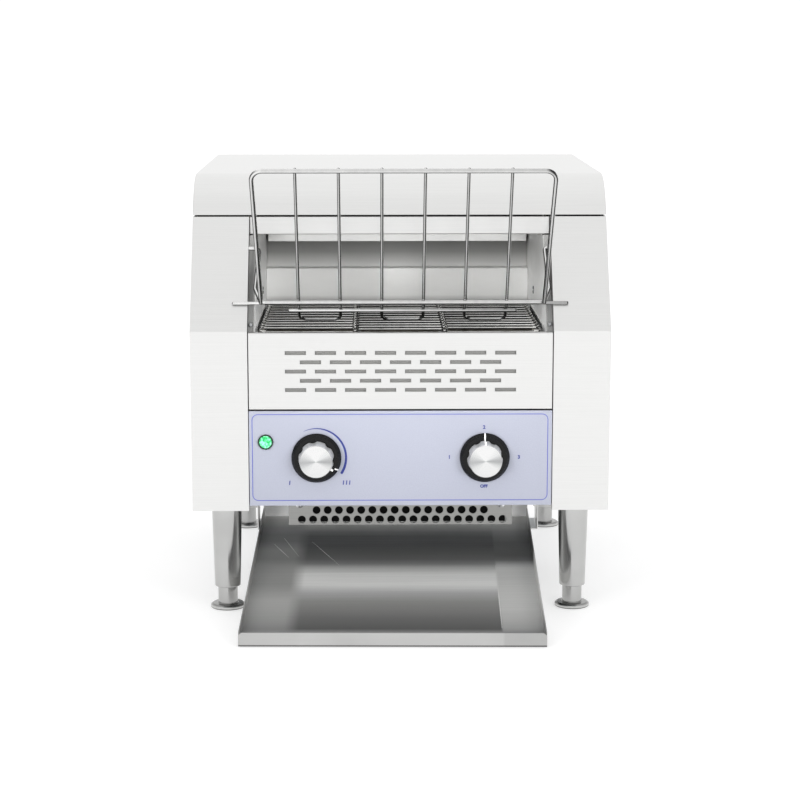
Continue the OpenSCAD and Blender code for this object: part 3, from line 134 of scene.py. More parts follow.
def addBands(tree, axis, stops, spot=None):
    # colours at places along one axis, in mm from the column fronts, the middle or the counter,
    # of the piece as it lies, or of a turned place
    spot = spot or addNode(tree, "ShaderNodeTexCoord").outputs["Object"]
    parts = addNode(tree, "ShaderNodeSeparateXYZ", {"Vector": spot})
    first, last = stops[0][0], stops[-1][0]
    start, end = (place(at, at, at)["XYZ".index(axis)] for at in (first, last))
    along = addNode(tree, "ShaderNodeMapRange", {"Value": parts.outputs[axis], "From Min": start,
                                                 "From Max": end})
    shares = [((at - first) / (last - first), colour) for at, colour in stops]
    return addNode(tree, "ShaderNodeValToRGB", {"Fac": along.outputs["Result"]}, shares).outputs["Color"]


def addTurn(tree, lean, fall=1.0):
    # how far a surface turns to the side or down, from 0 to 1; lean moves its middle to one side,
    # and fall says how much its turning down counts
    normal = addNode(tree, "ShaderNodeTexCoord").outputs["Normal"]
    facing = addNode(tree, "ShaderNodeSeparateXYZ", {"Vector": normal})
    moved = addNode(tree, "ShaderNodeMath", {0: facing.outputs["X"], 1: lean}, operation="ADD")
    across = addNode(tree, "ShaderNodeMath", {0: moved.outputs["Value"]}, operation="ABSOLUTE")
    below = addNode(tree, "ShaderNodeMath", {0: facing.outputs["Z"], 1: -fall}, operation="MULTIPLY")
    return addNode(tree, "ShaderNodeMath", {0: across.outputs["Value"], 1: below.outputs["Value"]},
                   operation="MAXIMUM").outputs["Value"]


# materials

def shadedSatinStainless(name, grain=(60, 60, 0.7), light="#e4e4e3", dark="#e0e0df", gloss=(0.31, 0.36)):
    # 304 sheet, satin ground: pale and even, with fine streaks that stretch each highlight sideways;
    # painted shade draws it a little darker where a face or a bend turns to the side or down
    made, tree, shader = startMaterial(name, Metallic=1.0)
    streaks = addNoise(tree, grain, 4.0)
    tone = addNode(tree, "ShaderNodeValToRGB", {"Fac": streaks}, [(0.3, dark), (0.7, light)])
    turned = addNode(tree, "ShaderNodeValToRGB", {"Fac": addTurn(tree, 0.0)},
                     [(0.25, "#ffffff"), (0.85, "#e2e2e2")])
    both = addNode(tree, "ShaderNodeVectorMath", {0: tone.outputs["Color"], 1: turned.outputs["Color"]},
                   operation="MULTIPLY")
    tree.links.new(both.outputs["Vector"], shader.inputs["Base Color"])
    addGloss(tree, shader, streaks, gloss, 0.004)
    return made


def brushedTrayWithPaintedReflections(t):
    # 304 sheet, belt brushed along X: fine streaks, and painted reflections and painted shade drawn by place
    #                                  for
    # the light and dark that a satin sheet gathers from what stands above it: pale at the lip, bright in the
    # middle, greyer beside, dark behind
    made, tree, shader = startMaterial("brushedTrayWithPaintedReflections", Metallic=0.12, Specular_IOR_Level=0.25)
    turn = math.radians(t["turn"])
    pivot = place(*t["pivot"])
    moved = pivot - Matrix.Rotation(turn, 3, "Z") @ pivot
    seen = addNode(tree, "ShaderNodeTexCoord").outputs["Object"]
    spot = addNode(tree, "ShaderNodeMapping", {"Vector": seen, "Rotation": (0, 0, turn),
                                               "Location": tuple(moved)}).outputs["Vector"]
    tone = addBands(tree, "Y", t["middle"] + t["rear"], spot)
    for zone, border in (("side", t["leftBorder"]), ("right", t["rightBorder"])):
        share = addBands(tree, "X", border, spot)
        beside = addBands(tree, "Y", t[zone] + t["rear"], spot)
        tone = addNode(tree, "ShaderNodeMix", {0: share, 6: tone, 7: beside}, data_type="RGBA").outputs[2]
    edge = addBands(tree, "Z", t["lipEdge"], spot)
    streaks = addNoise(tree, (120, 1.6, 60), 3.0)
    toned = addNode(tree, "ShaderNodeVectorMath", {0: tone, 1: edge}, operation="MULTIPLY").outputs["Vector"]
    tree.links.new(addShade(tree, toned, streaks, 0.94, 1.06), shader.inputs["Base Color"])
    addGloss(tree, shader, streaks, (0.30, 0.40), 0.0015)
    return made


def bakedStainless(name, shade):
    # sheet inside the chamber: bare steel dulled by heat, with a faint straw tint; a shade under 1 darkens it
    # as painted shade
    made, tree, shader = startMaterial(name, Metallic=0.55)
    cloud = addNoise(tree, (60, 60, 14), 4.0)
    tone = addNode(tree, "ShaderNodeValToRGB", {"Fac": cloud}, [(0.3, "#b9b8b5"), (0.7, "#c6c5c3")])
    tree.links.new(addShade(tree, tone.outputs["Color"], cloud, shade, shade), shader.inputs["Base Color"])
    addGloss(tree, shader, cloud, (0.34, 0.44), 0.006)
    return made


def shadedPanel(name, stops, metal=0.5, gloss=(0.34, 0.44)):
    # satin sheet whose tone is drawn by height, as painted shade where the chamber around it dims
    made, tree, shader = startMaterial(name, Metallic=metal)
    cloud = addNoise(tree, (50, 50, 20), 3.0)
    tree.links.new(addShade(tree, addBands(tree, "Z", stops), cloud, 0.96, 1.04), shader.inputs["Base Color"])
    addGloss(tree, shader, cloud, gloss, 0.004)
    return made


def innerPlateStainless():
    # side plates of the chamber, in painted shade: pale satin walls, dimmer near the upper heaters, and a
    # folded front drawn grey
    made, tree, shader = startMaterial("innerPlateStainless", Metallic=0.05)
    normal = addNode(tree, "ShaderNodeTexCoord").outputs["Normal"]
    facing = addNode(tree, "ShaderNodeSeparateXYZ", {"Vector": normal})
    front = addNode(tree, "ShaderNodeMath", {0: facing.outputs["Y"]}, operation="ABSOLUTE")
    fold = addNode(tree, "ShaderNodeMapRange", {"Value": front.outputs["Value"], "From Min": 0.5,
                                                "From Max": 0.7})
    wall = addBands(tree, "Z", [(250, "#ffffff"), (286, "#fafaf8"), (312, "#d8d8d6"), (330, "#d0d0ce"),
                                (345, "#fafaf8")])
    edge = addBands(tree, "Z", [(200, "#6a6a69"), (256, "#828281"), (300, "#7c7c7b"), (332, "#a8a8a6")])
    both = addNode(tree, "ShaderNodeMix", {0: fold.outputs["Result"], 6: wall, 7: edge}, data_type="RGBA")
    cloud = addNoise(tree, (30, 30, 12), 3.0)
    tree.links.new(addShade(tree, both.outputs[2], cloud, 0.94, 1.06), shader.inputs["Base Color"])
    addGloss(tree, shader, cloud, (0.36, 0.46), 0.004)
    return made


def zincPlatedSheet():
    # hot dipped chassis sheet: crystals a few mm wide, each a little lighter or darker
    made, tree, shader = startMaterial("zincPlatedSheet", Metallic=1.0)
    spot = addNode(tree, "ShaderNodeTexCoord").outputs["Object"]
    cells = addNode(tree, "ShaderNodeTexVoronoi", {"Vector": spot, "Scale": perMm(7)})
    grey = addNode(tree, "ShaderNodeRGBToBW", {"Color": cells.outputs["Color"]})
    addFinish(tree, shader, grey.outputs["Val"], ("#a7abae", "#c9ccce"), (0.34, 0.5), 0.0, (0.1, 0.9))
    return made


def drawnWire(name, crown, flank, gloss, heights=((0, "#ffffff"), (400, "#ffffff"))):
    # drawn and plated wire, with a painted highlight along its crown and painted shade on its flanks; heights
    # tone it as it climbs
    made, tree, shader = startMaterial(name, Metallic=1.0)
    tone = addNode(tree, "ShaderNodeValToRGB", {"Fac": addTurn(tree, 0.22, 0.4)},
                   [(0.14, crown), (0.52, flank), (0.92, flank), (1.0, crown)])
    toned = addNode(tree, "ShaderNodeVectorMath", {0: tone.outputs["Color"], 1: addBands(tree, "Z", heights)},
                    operation="MULTIPLY")
    wear = addNoise(tree, (6, 6, 6), 3.0)
    tree.links.new(addShade(tree, toned.outputs["Vector"], wear, 0.93, 1.05), shader.inputs["Base Color"])
    addGloss(tree, shader, wear, gloss, 0.004)
    return made


def shadedTurnedFoot():
    # chromed foot, with painted reflections and painted shade by height: light on its rim, grey on its top
    # and dark where it meets the counter
    made, tree, shader = startMaterial("shadedTurnedFoot", Metallic=1.0)
    tone = addBands(tree, "Z", [(0, "#4a4a49"), (0.7, "#6e6e6d"), (1.2, "#c4c4c3"), (2.6, "#c4c4c3"),
                                (3.2, "#8c8c8b"), (4.2, "#848483"), (6, "#b0b0af"), (30, "#b8b8b7")])
    tree.links.new(tone, shader.inputs["Base Color"])
    addGloss(tree, shader, addNoise(tree, (8, 8, 8), 2.0), (0.14, 0.2), 0.0)
    return made


def spunAluminium(name, centre):
    # face turned cap: rings from the lathe, drawn 0.9 mm apart so that they show at all, and a painted
    # reflection:
    # bright and dark wedges round the middle, such as those rings throw
    made, tree, shader = startMaterial(name, Metallic=1.0, Anisotropic=0.6)
    spot = addNode(tree, "ShaderNodeTexCoord").outputs["Object"]
    swap = addNode(tree, "ShaderNodeSeparateXYZ", {"Vector": spot})
    flat = addNode(tree, "ShaderNodeCombineXYZ", {"X": swap.outputs["X"], "Y": swap.outputs["Z"]})
    moved = addNode(tree, "ShaderNodeMapping", {"Vector": flat.outputs["Vector"],
                                                "Location": [-centre.x, -centre.z, 0.0]}).outputs["Vector"]
    sweep = addNode(tree, "ShaderNodeTexGradient", {"Vector": moved}, gradient_type="RADIAL")
    wedges = addNode(tree, "ShaderNodeValToRGB", {"Fac": sweep.outputs["Fac"]}, [
        (0.0, "#b4b5b6"), (0.015, "#b1b2b3"), (0.09, "#d6d7d7"), (0.16, "#e0e0e0"), (0.40, "#e0e0e0"),
        (0.455, "#c8c9c9"), (0.495, "#a9aaab"), (0.52, "#afb0b1"), (0.585, "#d8d9d9"), (0.66, "#e4e4e4"),
        (0.86, "#e4e4e4"), (0.94, "#cecfcf"), (1.0, "#b4b5b6")])
    tree.links.new(wedges.outputs["Color"], shader.inputs["Base Color"])
    away = addNode(tree, "ShaderNodeVectorMath", {0: moved}, operation="LENGTH")
    rings = addNode(tree, "ShaderNodeMath", {0: away.outputs["Value"], 1: perMm(0.9) * 2 * math.pi},
                    operation="MULTIPLY")
    wave = addNode(tree, "ShaderNodeMath", {0: rings.outputs["Value"]}, operation="SINE")
    addGloss(tree, shader, wave.outputs["Value"], (0.22, 0.34), 0.0, (-1.0, 1.0))
    return made


def greenLens():
    # moulded polycarbonate lens, lit from behind: bright facets between darker ones
    made, tree, shader = startMaterial("greenLens", Specular_IOR_Level=0.6, Coat_Weight=0.5,
                                       Coat_Roughness=0.05, Emission_Strength=0.45)
    facets = addNoise(tree, (2.0, 2.0, 2.0), 1.0)
    addFinish(tree, shader, facets, ("#1fae5c", "#8df7c0"), (0.08, 0.16), 0.0, (0.35, 0.65))
    glow = addNode(tree, "ShaderNodeValToRGB", {"Fac": facets},
                   [(0.35, "#0b8a3e"), (0.55, "#3ad687"), (0.68, "#a4f7cb")])
    tree.links.new(glow.outputs["Color"], shader.inputs["Emission Color"])
    return made


def fibreBoard():
    # epoxy glass board under green solder mask: glossy, with copper tracks showing as paler lines
    made, tree, shader = startMaterial("fibreBoard", Coat_Weight=0.4, Coat_Roughness=0.2)
    spot = addNode(tree, "ShaderNodeTexCoord").outputs["Object"]
    tracks = addNode(tree, "ShaderNodeTexBrick", {"Vector": spot, "Scale": perMm(9), "Color1": (0, 0, 0, 1),
                                                  "Color2": (0, 0, 0, 1), "Mortar": (1, 1, 1, 1),
                                                  "Mortar Size": 0.05})
    addFinish(tree, shader, tracks.outputs["Color"], ("#1d5a35", "#3f8a58"), (0.3, 0.4))
    return made


def grained(name, grain, detail, colours, gloss, height, **sockets):
    # a finish that follows one grain: its size in mm along X, Y and Z, its colours, gloss and relief in mm
    made, tree, shader = startMaterial(name, **sockets)
    addFinish(tree, shader, addNoise(tree, grain, detail), colours, gloss, height)
    return made


tray = {
    "fold": 0.8,
    "edge": 0.35,
    "turn": 1.1,                  # it sits a little askew, degrees
    "pivot": (-2, 226, 0),
    "front": -100.0,
    "floor": 1.8,                 # height of the sheet's top at its front, mm
    "slope": 6.5,                 # degrees
    # three scratches at the left, and at the right one long fine line that is a painted reflection: from, to,
    # width
    "scratchesAndReflectionLine": [(-117.6, 144.6, -101.1, 107.1, 0.7), (-109.0, 161.1, -92.1, 110.5, 0.45),
                  (-81.5, 151.0, -53.7, 89.0, 0.45), (92.4, 88.0, 92.4, -62.0, 1.1)],
    "scratchLift": 0.14,
    "scratchDepth": 0.3,
    "scratchEnd": 0.2,            # width at its ends, as a share
    # painted reflections and painted shade on its sheet, front to rear: in the middle, at its left, at its
    # right, and behind all three
    "middle": [(-101, "#a6a6a5"), (-99.4, "#a6a6a5"), (-98.4, "#8c8c8b"), (-72, "#8c8c8b"), (-64, "#5a5a59"),
               (-40, "#6c6c6b"), (-20, "#828280"), (0, "#949492"), (20, "#bababa"), (40, "#f4f4f2"),
               (66, "#f4f4f2"), (82, "#c8c8c6"), (92, "#909090"), (104, "#6a6a69"), (120, "#545453"),
               (140, "#303030"), (165, "#2a2a2a"), (178, "#60605f"), (190, "#989896"), (200, "#bcbcba"),
               (213, "#c8c8c6")],
    "side": [(-101, "#a8a8a7"), (-99.4, "#a8a8a7"), (-98.4, "#8c8c8b"), (-72, "#8c8c8b"), (-64, "#848483"),
             (-40, "#9a9a98"), (-20, "#a8a8a6"), (0, "#b2b2b0"), (20, "#acacaa"), (40, "#a4a4a2"),
             (66, "#acacaa"), (90, "#a6a6a4"), (104, "#949492"), (128, "#949492"), (140, "#7e7e7d"),
             (152, "#686867"), (170, "#646463"), (190, "#808080"), (213, "#b4b4b2")],
    "right": [(-101, "#9c9c9b"), (-99.4, "#9c9c9b"), (-98.4, "#868685"), (-72, "#868685"), (-64, "#9c9c9b"),
              (-40, "#b4b4b2"), (-20, "#c4c4c2"), (20, "#d4d4d2"), (66, "#dcdcda"), (82, "#dcdcda"),
              (92, "#bababa"), (102, "#747473"), (114, "#585857"), (150, "#444443"), (165, "#545453"),
              (180, "#787877"), (190, "#9c9c9b"), (213, "#c8c8c6")],
    "rear": [(222.5, "#c8c8c6"), (223.8, "#f6f6f5"), (227, "#f6f6f5")],
    # white where the left and the right tones take over, from left to right
    "leftBorder": [(-130, "#ffffff"), (-96, "#ffffff"), (-84, "#000000"), (130, "#000000")],
    "rightBorder": [(-130, "#000000"), (91.5, "#000000"), (93.5, "#ffffff"), (130, "#ffffff")],
    # painted shade along the foot of the lip, by height
    "lipEdge": [(0, "#4a4a49"), (1.5, "#6a6a69"), (2.2, "#ffffff"), (60, "#ffffff")],
}

stainless = shadedSatinStainless("shadedSatinStainless")
# the guard: a darker and duller copy of the satin sheet, its darker tone painted shade
guardSheet = shadedSatinStainless("shadedDullStainless", (90, 90, 0.9), "#a3a3a1", "#999997", (0.36, 0.44))
# the belt guides: a lighter copy of the satin sheet, as a painted highlight
guideSheet = shadedSatinStainless("highlitStainless", (20, 20, 0.9), "#fbfbfa", "#f2f2f1", (0.24, 0.3))
trayStainless = brushedTrayWithPaintedReflections(tray)
chamberSheet = bakedStainless("bakedStainless", 1.0)
# the heat shield under the belt: drawn far darker, a painted shade so that the gaps between the belt's wires
# read black
shadedShieldSheet = bakedStainless("shadedShieldStainless", 0.22)
# painted shade in the chamber: the upper back panel darkens towards its top, the lower one is near black
# below the belt; the reflector is drawn near white, a painted highlight, and greyer towards its top, painted
# shade
upperPanelSheet = shadedPanel("upperPanelStainless", [(284, "#f4f4f2"), (290, "#d0d0ce"), (300, "#9a9a98"),
                                                      (312, "#7a7a78"), (330, "#747472")])
lowerPanelSheet = shadedPanel("lowerPanelStainless", [(206, "#141414"), (236, "#1c1c1c"), (246, "#4a4a49"),
                                                      (254, "#c8c8c6"), (259, "#fafaf8"), (286, "#fafaf8")],
                             0.15)
reflectorSheet = shadedPanel("reflectorStainless", [(311, "#fdfdfb"), (320, "#fdfdfb"), (351, "#d0d0ce")],
                             0.6, (0.16, 0.22))
# a flat grey sheet behind the vent slots, painted shade
ventShadeGrey = shadedPanel("ventShadeStainless", [(180, "#747472"), (260, "#747472")], 0.1)
# pale strips for the tray's scratches and for the painted reflection line at its right
scratchAndReflectionSheet = shadedPanel("scratchAndReflectionStainless", [(0, "#dededc"), (60, "#e8e8e6")], 0.1)
plateSheet = innerPlateStainless()
zincSheet = zincPlatedSheet()
# the uprights: a darker copy of the chromed wire, as painted shade
uprightChrome = drawnWire("shadedChromedWire", "#c4c4c3", "#3a3a3a", (0.14, 0.2))
rackChrome = drawnWire("chromedWire", "#e4e4e3", "#3a3a3a", (0.12, 0.18))
# painted shade: the belt's return run is drawn darker, so that the gaps of the run above it read black
beltWire = drawnWire("drawnBeltWire", "#f2f1ee", "#3c3b39", (0.18, 0.26),
                     ((205, "#202020"), (246, "#2a2a2a"), (251, "#ffffff"), (262, "#ffffff")))
footChrome = shadedTurnedFoot()
lensGreen = greenLens()
boardGreen = fibreBoard()

# chromed steel tube: a clear mirror, a little softened by the buffing wheel
chromeTube = grained("polishedTube", (60, 60, 30), 2.0, ("#b6b6b5", "#bfbfbe"), (0.12, 0.16), 0.0,
                     Metallic=1.0)

# lathe turned bar: close rings round the axis
shaftSteel = grained("turnedSteel", (0.8, 12, 12), 3.0, ("#8f9193", "#c4c6c8"), (0.22, 0.36), 0.01,
                     Metallic=1.0)

# laser cut sprocket sheet: duller and darker, with the same fine lines
sprocketSteel = grained("laserCutSteel", (0.8, 12, 12), 3.0, ("#6b6d6f", "#939597"), (0.34, 0.5), 0.01,
                        Metallic=1.0)

# zinc plated and polished screws: small, bright and nearly smooth
screwSteel = grained("zincPlatedScrew", (0.8, 12, 12), 3.0, ("#9a9c9e", "#c9cbcd"), (0.2, 0.3), 0.01,
                     Metallic=1.0)
# a lighter copy for the case screws, as a painted highlight
paleScrew = grained("highlitScrew", (0.8, 12, 12), 3.0, ("#d4d6d8", "#f0f1f2"), (0.2, 0.3), 0.01,
                    Metallic=1.0)

# pressed and sintered bronze: warm, dry, pitted by its pores
bronze = grained("sinteredBronze", (0.7, 0.7, 0.7), 3.0, ("#8a6a3c", "#c09a5e"), (0.38, 0.55), 0.03,
                 Metallic=1.0)

# milled and anodised aluminium grip: pale satin metal with fine rings across its side
gripMetal = grained("milledAluminium", (9, 0.8, 9), 3.0, ("#cccdce", "#dedfe0"), (0.28, 0.38), 0.01,
                    Metallic=0.35)

# nickel alloy heater sheath after use: dull grey oxide with brown heat marks
sheath = grained("heaterSheath", (22, 9, 9), 5.0, ("#4c473f", "#8d8a82"), (0.42, 0.6), 0.02, Metallic=0.8)

# die cast and painted gearbox: dark grey with a light pebble
motorCast = grained("castMotor", (1.4, 1.4, 1.4), 4.0, ("#4a4d51", "#6a6d71"), (0.4, 0.55), 0.05,
                    Metallic=0.3)

# back printed polyester film: lavender grey under a fine velvet grain
film = grained("printedPolyester", (0.9, 0.9, 0.9), 2.0, ("#9c9fad", "#a2a5b2"), (0.42, 0.5), 0.012,
               Specular_IOR_Level=0.35, Coat_Weight=0.15, Coat_Roughness=0.35)

# screen printed ink, and a paler one for the border: flat, slightly raised, faintly mottled
ink = grained("screenInk", (0.8, 0.8, 0.8), 2.0, ("#1c286c", "#263386"), (0.4, 0.55), 0.01)
borderInk = grained("paleScreenInk", (0.8, 0.8, 0.8), 2.0, ("#4850a0", "#565eae"), (0.4, 0.55), 0.01)

# white filled pointer line
whiteMark = grained("markPaint", (0.9, 0.9, 0.9), 2.0, ("#f2f2f2", "#ffffff"), (0.4, 0.5), 0.005)

# compression moulded phenolic: deep black, glossy, with slight orange peel
phenolic = grained("mouldedPhenolic", (2.2, 2.2, 2.2), 2.0, ("#040506", "#08090b"), (0.2, 0.3), 0.01,
                   Specular_IOR_Level=0.25, Coat_Weight=0.03, Coat_Roughness=0.1)

# injection moulded nylon: dull black with a fine spark eroded grain
nylon = grained("blackNylon", (0.9, 0.9, 0.9), 3.0, ("#17181a", "#26272a"), (0.42, 0.58), 0.03,
                Specular_IOR_Level=0.45)

# painted shadow: a dead black, matt, faintly mottled sheet, set where only shade shows
shadowBlack = grained("paintedShadowBlack", (1.6, 1.6, 1.6), 3.0, ("#050505", "#0d0d0d"), (0.8, 0.95), 0.03,
                     Specular_IOR_Level=0.1)

# dark green moulded lamp ring
ringGreen = grained("lampRing", (1.5, 1.5, 1.5), 2.0, ("#06200f", "#0d3820"), (0.22, 0.3), 0.01,
                    Specular_IOR_Level=0.5, Coat_Weight=0.3, Coat_Roughness=0.1)

# pressed steatite ceramic: cream, matt, lightly speckled
steatite = grained("pressedSteatite", (1.1, 1.1, 1.1), 4.0, ("#d8d0c0", "#f1ebdf"), (0.5, 0.7), 0.03,
                   Specular_IOR_Level=0.4)
print("materials made:", len(bpy.data.materials))


# shapes

def addPiece(name, points, faces, material, body, slot, replaced=(), sharp=40.0):
    mesh = bpy.data.meshes.new(name)
    mesh.from_pydata([tuple(p) for p in points], [], faces)
    mesh.validate()
    return addObject(name, mesh, material, body, replaced, sharp)


def addObject(name, mesh, material, body, replaced=(), sharp=40.0):
    made = bpy.data.objects.new(name, mesh)
    bpy.context.scene.collection.objects.link(made)
    mesh.materials.clear()
    mesh.materials.append(material)
    mesh.shade_smooth()
    mesh.set_sharp_from_angle(angle=math.radians(sharp))
    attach(made, body)
    if replaced:
        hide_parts(*replaced)
    return made


def bentPath(corners, radius, steps=7):
    # straight runs joined by true arcs of one radius
    path = [corners[0]]
    for before, corner, after in zip(corners, corners[1:], corners[2:]):
        back = (before - corner).normalized()
        on = (after - corner).normalized()
        turn = math.pi - back.angle(on)
        if turn < 0.01:
            path.append(corner)
            continue
        room = 0.48 * min((before - corner).length, (after - corner).length)
        reach = min(radius * math.tan(turn / 2), room)
        bend = reach / math.tan(turn / 2)
        middle = corner + (back + on).normalized() * math.hypot(bend, reach)
        start = corner + back * reach - middle
        axis = on.cross(back).normalized()
        path += [middle + Matrix.Rotation(turn * i / steps, 3, axis) @ start for i in range(steps + 1)]
    return path + [corners[-1]]


def skinned(points, sides):
    # skins rings of this many points, one after another, and closes both ends
    last = len(points) - sides
    faces = [(i + k, i + (k + 1) % sides, i + sides + (k + 1) % sides, i + sides + k)
             for i in range(0, last, sides) for k in range(sides)]
    return points, faces + [tuple(range(sides))[::-1], tuple(range(last, last + sides))]


def sweptWire(path, radius, sides=14):
    # a round wire along a path, with domed ends
    rings = []
    normal = None
    for i, centre in enumerate(path):
        along = (path[min(i + 1, len(path) - 1)] - path[max(i - 1, 0)]).normalized()
        if normal is None:
            normal = along.orthogonal().normalized()
        normal = (normal - along * normal.dot(along)).normalized()
        rings.append((centre, along, normal, 1.0))
    for end, way in ((0, -1), (-1, 1)):
        centre, along, side, _ = rings[end]
        domes = [(centre + along * way * radius * math.sin(a), along, side, math.cos(a))
                 for a in (math.radians(30), math.radians(58), math.radians(80))]
        rings = domes[::-1] + rings if end == 0 else rings + domes
    points = []
    for centre, along, side, share in rings:
        up = along.cross(side)
        points += [centre + (side * math.cos(a) + up * math.sin(a)) * radius * share
                   for a in (2 * math.pi * k / sides for k in range(sides))]
    return skinned(points, sides)


def joined(parts):
    points, faces = [], []
    for somePoints, someFaces in parts:
        start = len(points)
        points += somePoints
        faces += [tuple(i + start for i in face) for face in someFaces]
    return points, faces


def lathe(profile, origin, axis, segments=64, radiusAt=None):
    # turns (radius, height) pairs, in mm, round an axis through origin
    along = Vector(axis).normalized()
    side = Vector((1, 0, 0)) if abs(along.x) < 0.9 else Vector((0, 0, 1))
    up = along.cross(side)
    points = []
    for radius, height in profile:
        for k in range(segments):
            angle = 2 * math.pi * k / segments
            r = radiusAt(radius, height, angle) if radiusAt else radius
            points.append(origin + (side * math.cos(angle) + up * math.sin(angle)) * r * millimetre
                          + along * height * millimetre)
    return skinned(points, segments)


def rounded(profile, radius, steps=4):
    # eases every inner corner of a (radius, height) profile
    flat = [Vector((a, b, 0)) for a, b in profile]
    return [(p.x, p.y) for p in bentPath(flat, radius, steps)]


soften = {
    "merge": 0.004,       # points closer than this are one, mm
    "flat": 0.6,          # faces this near to flat are one, degrees
    "sharp": 30.0,        # edges sharper than this are eased, degrees
    "narrow": 1.4,        # a face whose area over its outline is under this many mm is the sheet's own edge
}


def softenNode(node, material, fold=0.9, edge=0.3):
    # a CAD piece with its folds and cut edges eased, in place of the sharp one
    work = bmesh.new()
    work.from_mesh(bpy.data.objects[node].data)
    bmesh.ops.remove_doubles(work, verts=work.verts, dist=soften["merge"] * millimetre)
    bmesh.ops.dissolve_limit(work, angle_limit=math.radians(soften["flat"]), verts=work.verts,
                             edges=work.edges)
    weights = work.edges.layers.float.new("bevel_weight_edge")
    narrow = soften["narrow"] * millimetre
    broad = {face: face.calc_area() / max(face.calc_perimeter(), 1e-9) > narrow for face in work.faces}
    for line in work.edges:
        if len(line.link_faces) == 2 and line.calc_face_angle(0) > math.radians(soften["sharp"]):
            wide = all(broad[face] for face in line.link_faces)
            line[weights] = 1.0 if wide else edge / fold
    mesh = bpy.data.meshes.new(node + "_eased")
    work.to_mesh(mesh)
    work.free()
    made = addObject(node + "_eased", mesh, material, bodyOf[node], (node,), 35.0)
    ease = made.modifiers.new("ease", "BEVEL")
    ease.limit_method = "WEIGHT"
    ease.width = fold * millimetre
    ease.segments = 2
    weighted = made.modifiers.new("normals", "WEIGHTED_NORMAL")
    weighted.keep_sharp = True
    return made


bodyOf = {node: name for name, nodes in frame["record"]["behaviour"]["bodies"].items() for node in nodes}
slotOf = {part["node"]: part["material_slot"] for part in frame["record"]["subparts"]}


# casing

casing = {
    "sheets": [
        (stainless, ["top_cover", "left_side_cover", "right_side_cover", "rear_cover", "front_header",
                     "vent_panel", "control_panel", "tray_brackets"]),
        (guardSheet, ["perforated_guard"]),
        (zincSheet, ["bottom_plate"]),
        (plateSheet, ["left_inner_plate", "right_inner_plate"]),
        (upperPanelSheet, ["back_panel_upper"]),
        (lowerPanelSheet, ["back_panel_lower"]),
        (reflectorSheet, ["upper_reflector"]),
        (chamberSheet, ["toast_chute"]),
        (guideSheet, ["belt_guides"]),
        (shadedShieldSheet, ["heat_shield"]),
    ],
    "fold": 1.0,          # outer radius of the bends, mm
    "edge": 0.3,          # rounding of the cut edges, mm
    "fineFold": 0.4,      # the same for the film and the pieces inside
    "fineEdge": 0.15,
    "flangeTop": 332.5,   # height of the inner plates' folded front edges, mm
    "flangeRear": 56.0,   # they lie in front of this
    "flangeOver": 2.8,    # they run this much further up to the header
    "flangeLean": 30.0,   # from upright, degrees
}
for material, nodes in casing["sheets"]:
    for node in nodes:
        eased = softenNode(node, material, casing["fold"], casing["edge"])
        if material is plateSheet:
            # the folded front edges run on up to the header
            lean = math.radians(casing["flangeLean"])
            over = casing["flangeOver"] * millimetre
            for point in eased.data.vertices:
                atTop = abs(point.co.z - casing["flangeTop"] * millimetre) < 0.2 * millimetre
                if atTop and point.co.y < frontY + casing["flangeRear"] * millimetre:
                    point.co += Vector((0, over * math.sin(lean), over * math.cos(lean)))
softenNode("control_overlay", film, casing["fineFold"], casing["fineEdge"])
print("casing eased")


guard = {
    "half": 94.0,         # the sheet behind the perforated field, mm each way from the middle
    "low": 80.5,          # its lower edge shows in the lower row of holes
    "high": 94.5,
    "gap": 0.8,
    "thick": 0.6,
    "ease": 0.15,
}

ventBacking = {
    "half": 110.0,
    "face": 2.2,          # the rear face of the vent panel
    "gap": 0.5,
    "thick": 0.6,
    "foot": 14.0,         # from the panel's lower and upper edges, mm
    "head": 9.0,
    "ease": 0.1,
}


def backingSheet(name, half, front, thick, low, high, ease, material, node):
    # a thin sheet across the middle, close behind a panel, with its long edges eased
    rear = front + thick
    ring = [(front + ease, low), (rear - ease, low), (rear, low + ease), (rear, high - ease),
            (rear - ease, high), (front + ease, high), (front, high - ease), (front, low + ease)]
    points = [place(x, y, z) for x in (-half, half) for y, z in ring]
    addPiece(name, *skinned(points, len(ring)), material, "casing", slotOf[node])


def buildShadeSheets():
    # painted shadow: a black sheet close behind the perforated guard, so that its holes read black
    g = guard
    front = (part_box("perforated_guard")[1].y - frontY) / millimetre + g["gap"]
    backingSheet("guardShadowSheet", g["half"], front, g["thick"], g["low"], g["high"], g["ease"], shadowBlack,
                 "perforated_guard")
    # painted shade: a grey sheet close behind the vent slots hides what is inside and stands for the shade in
    # them
    v = ventBacking
    low, high = (corner.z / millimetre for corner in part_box("vent_panel"))
    backingSheet("ventShadeSheet", v["half"], v["face"] + v["gap"], v["thick"], low + v["foot"],
                 high - v["head"], v["ease"], ventShadeGrey, "vent_panel")


buildShadeSheets()


fasteners = {
    "screwAt": (131.2, 10.9, 260.6),
    "screwRadius": 1.9,
    "screwHeight": 1.5,
    "screwLean": 30.0,    # square to the folded edge it sits on, degrees
    "rivetAt": (128.0, 161.0),
    "rivetHeights": (270.8, 274.6),
    "rivetRadius": 1.9,
    "rivetHeight": 0.8,
}


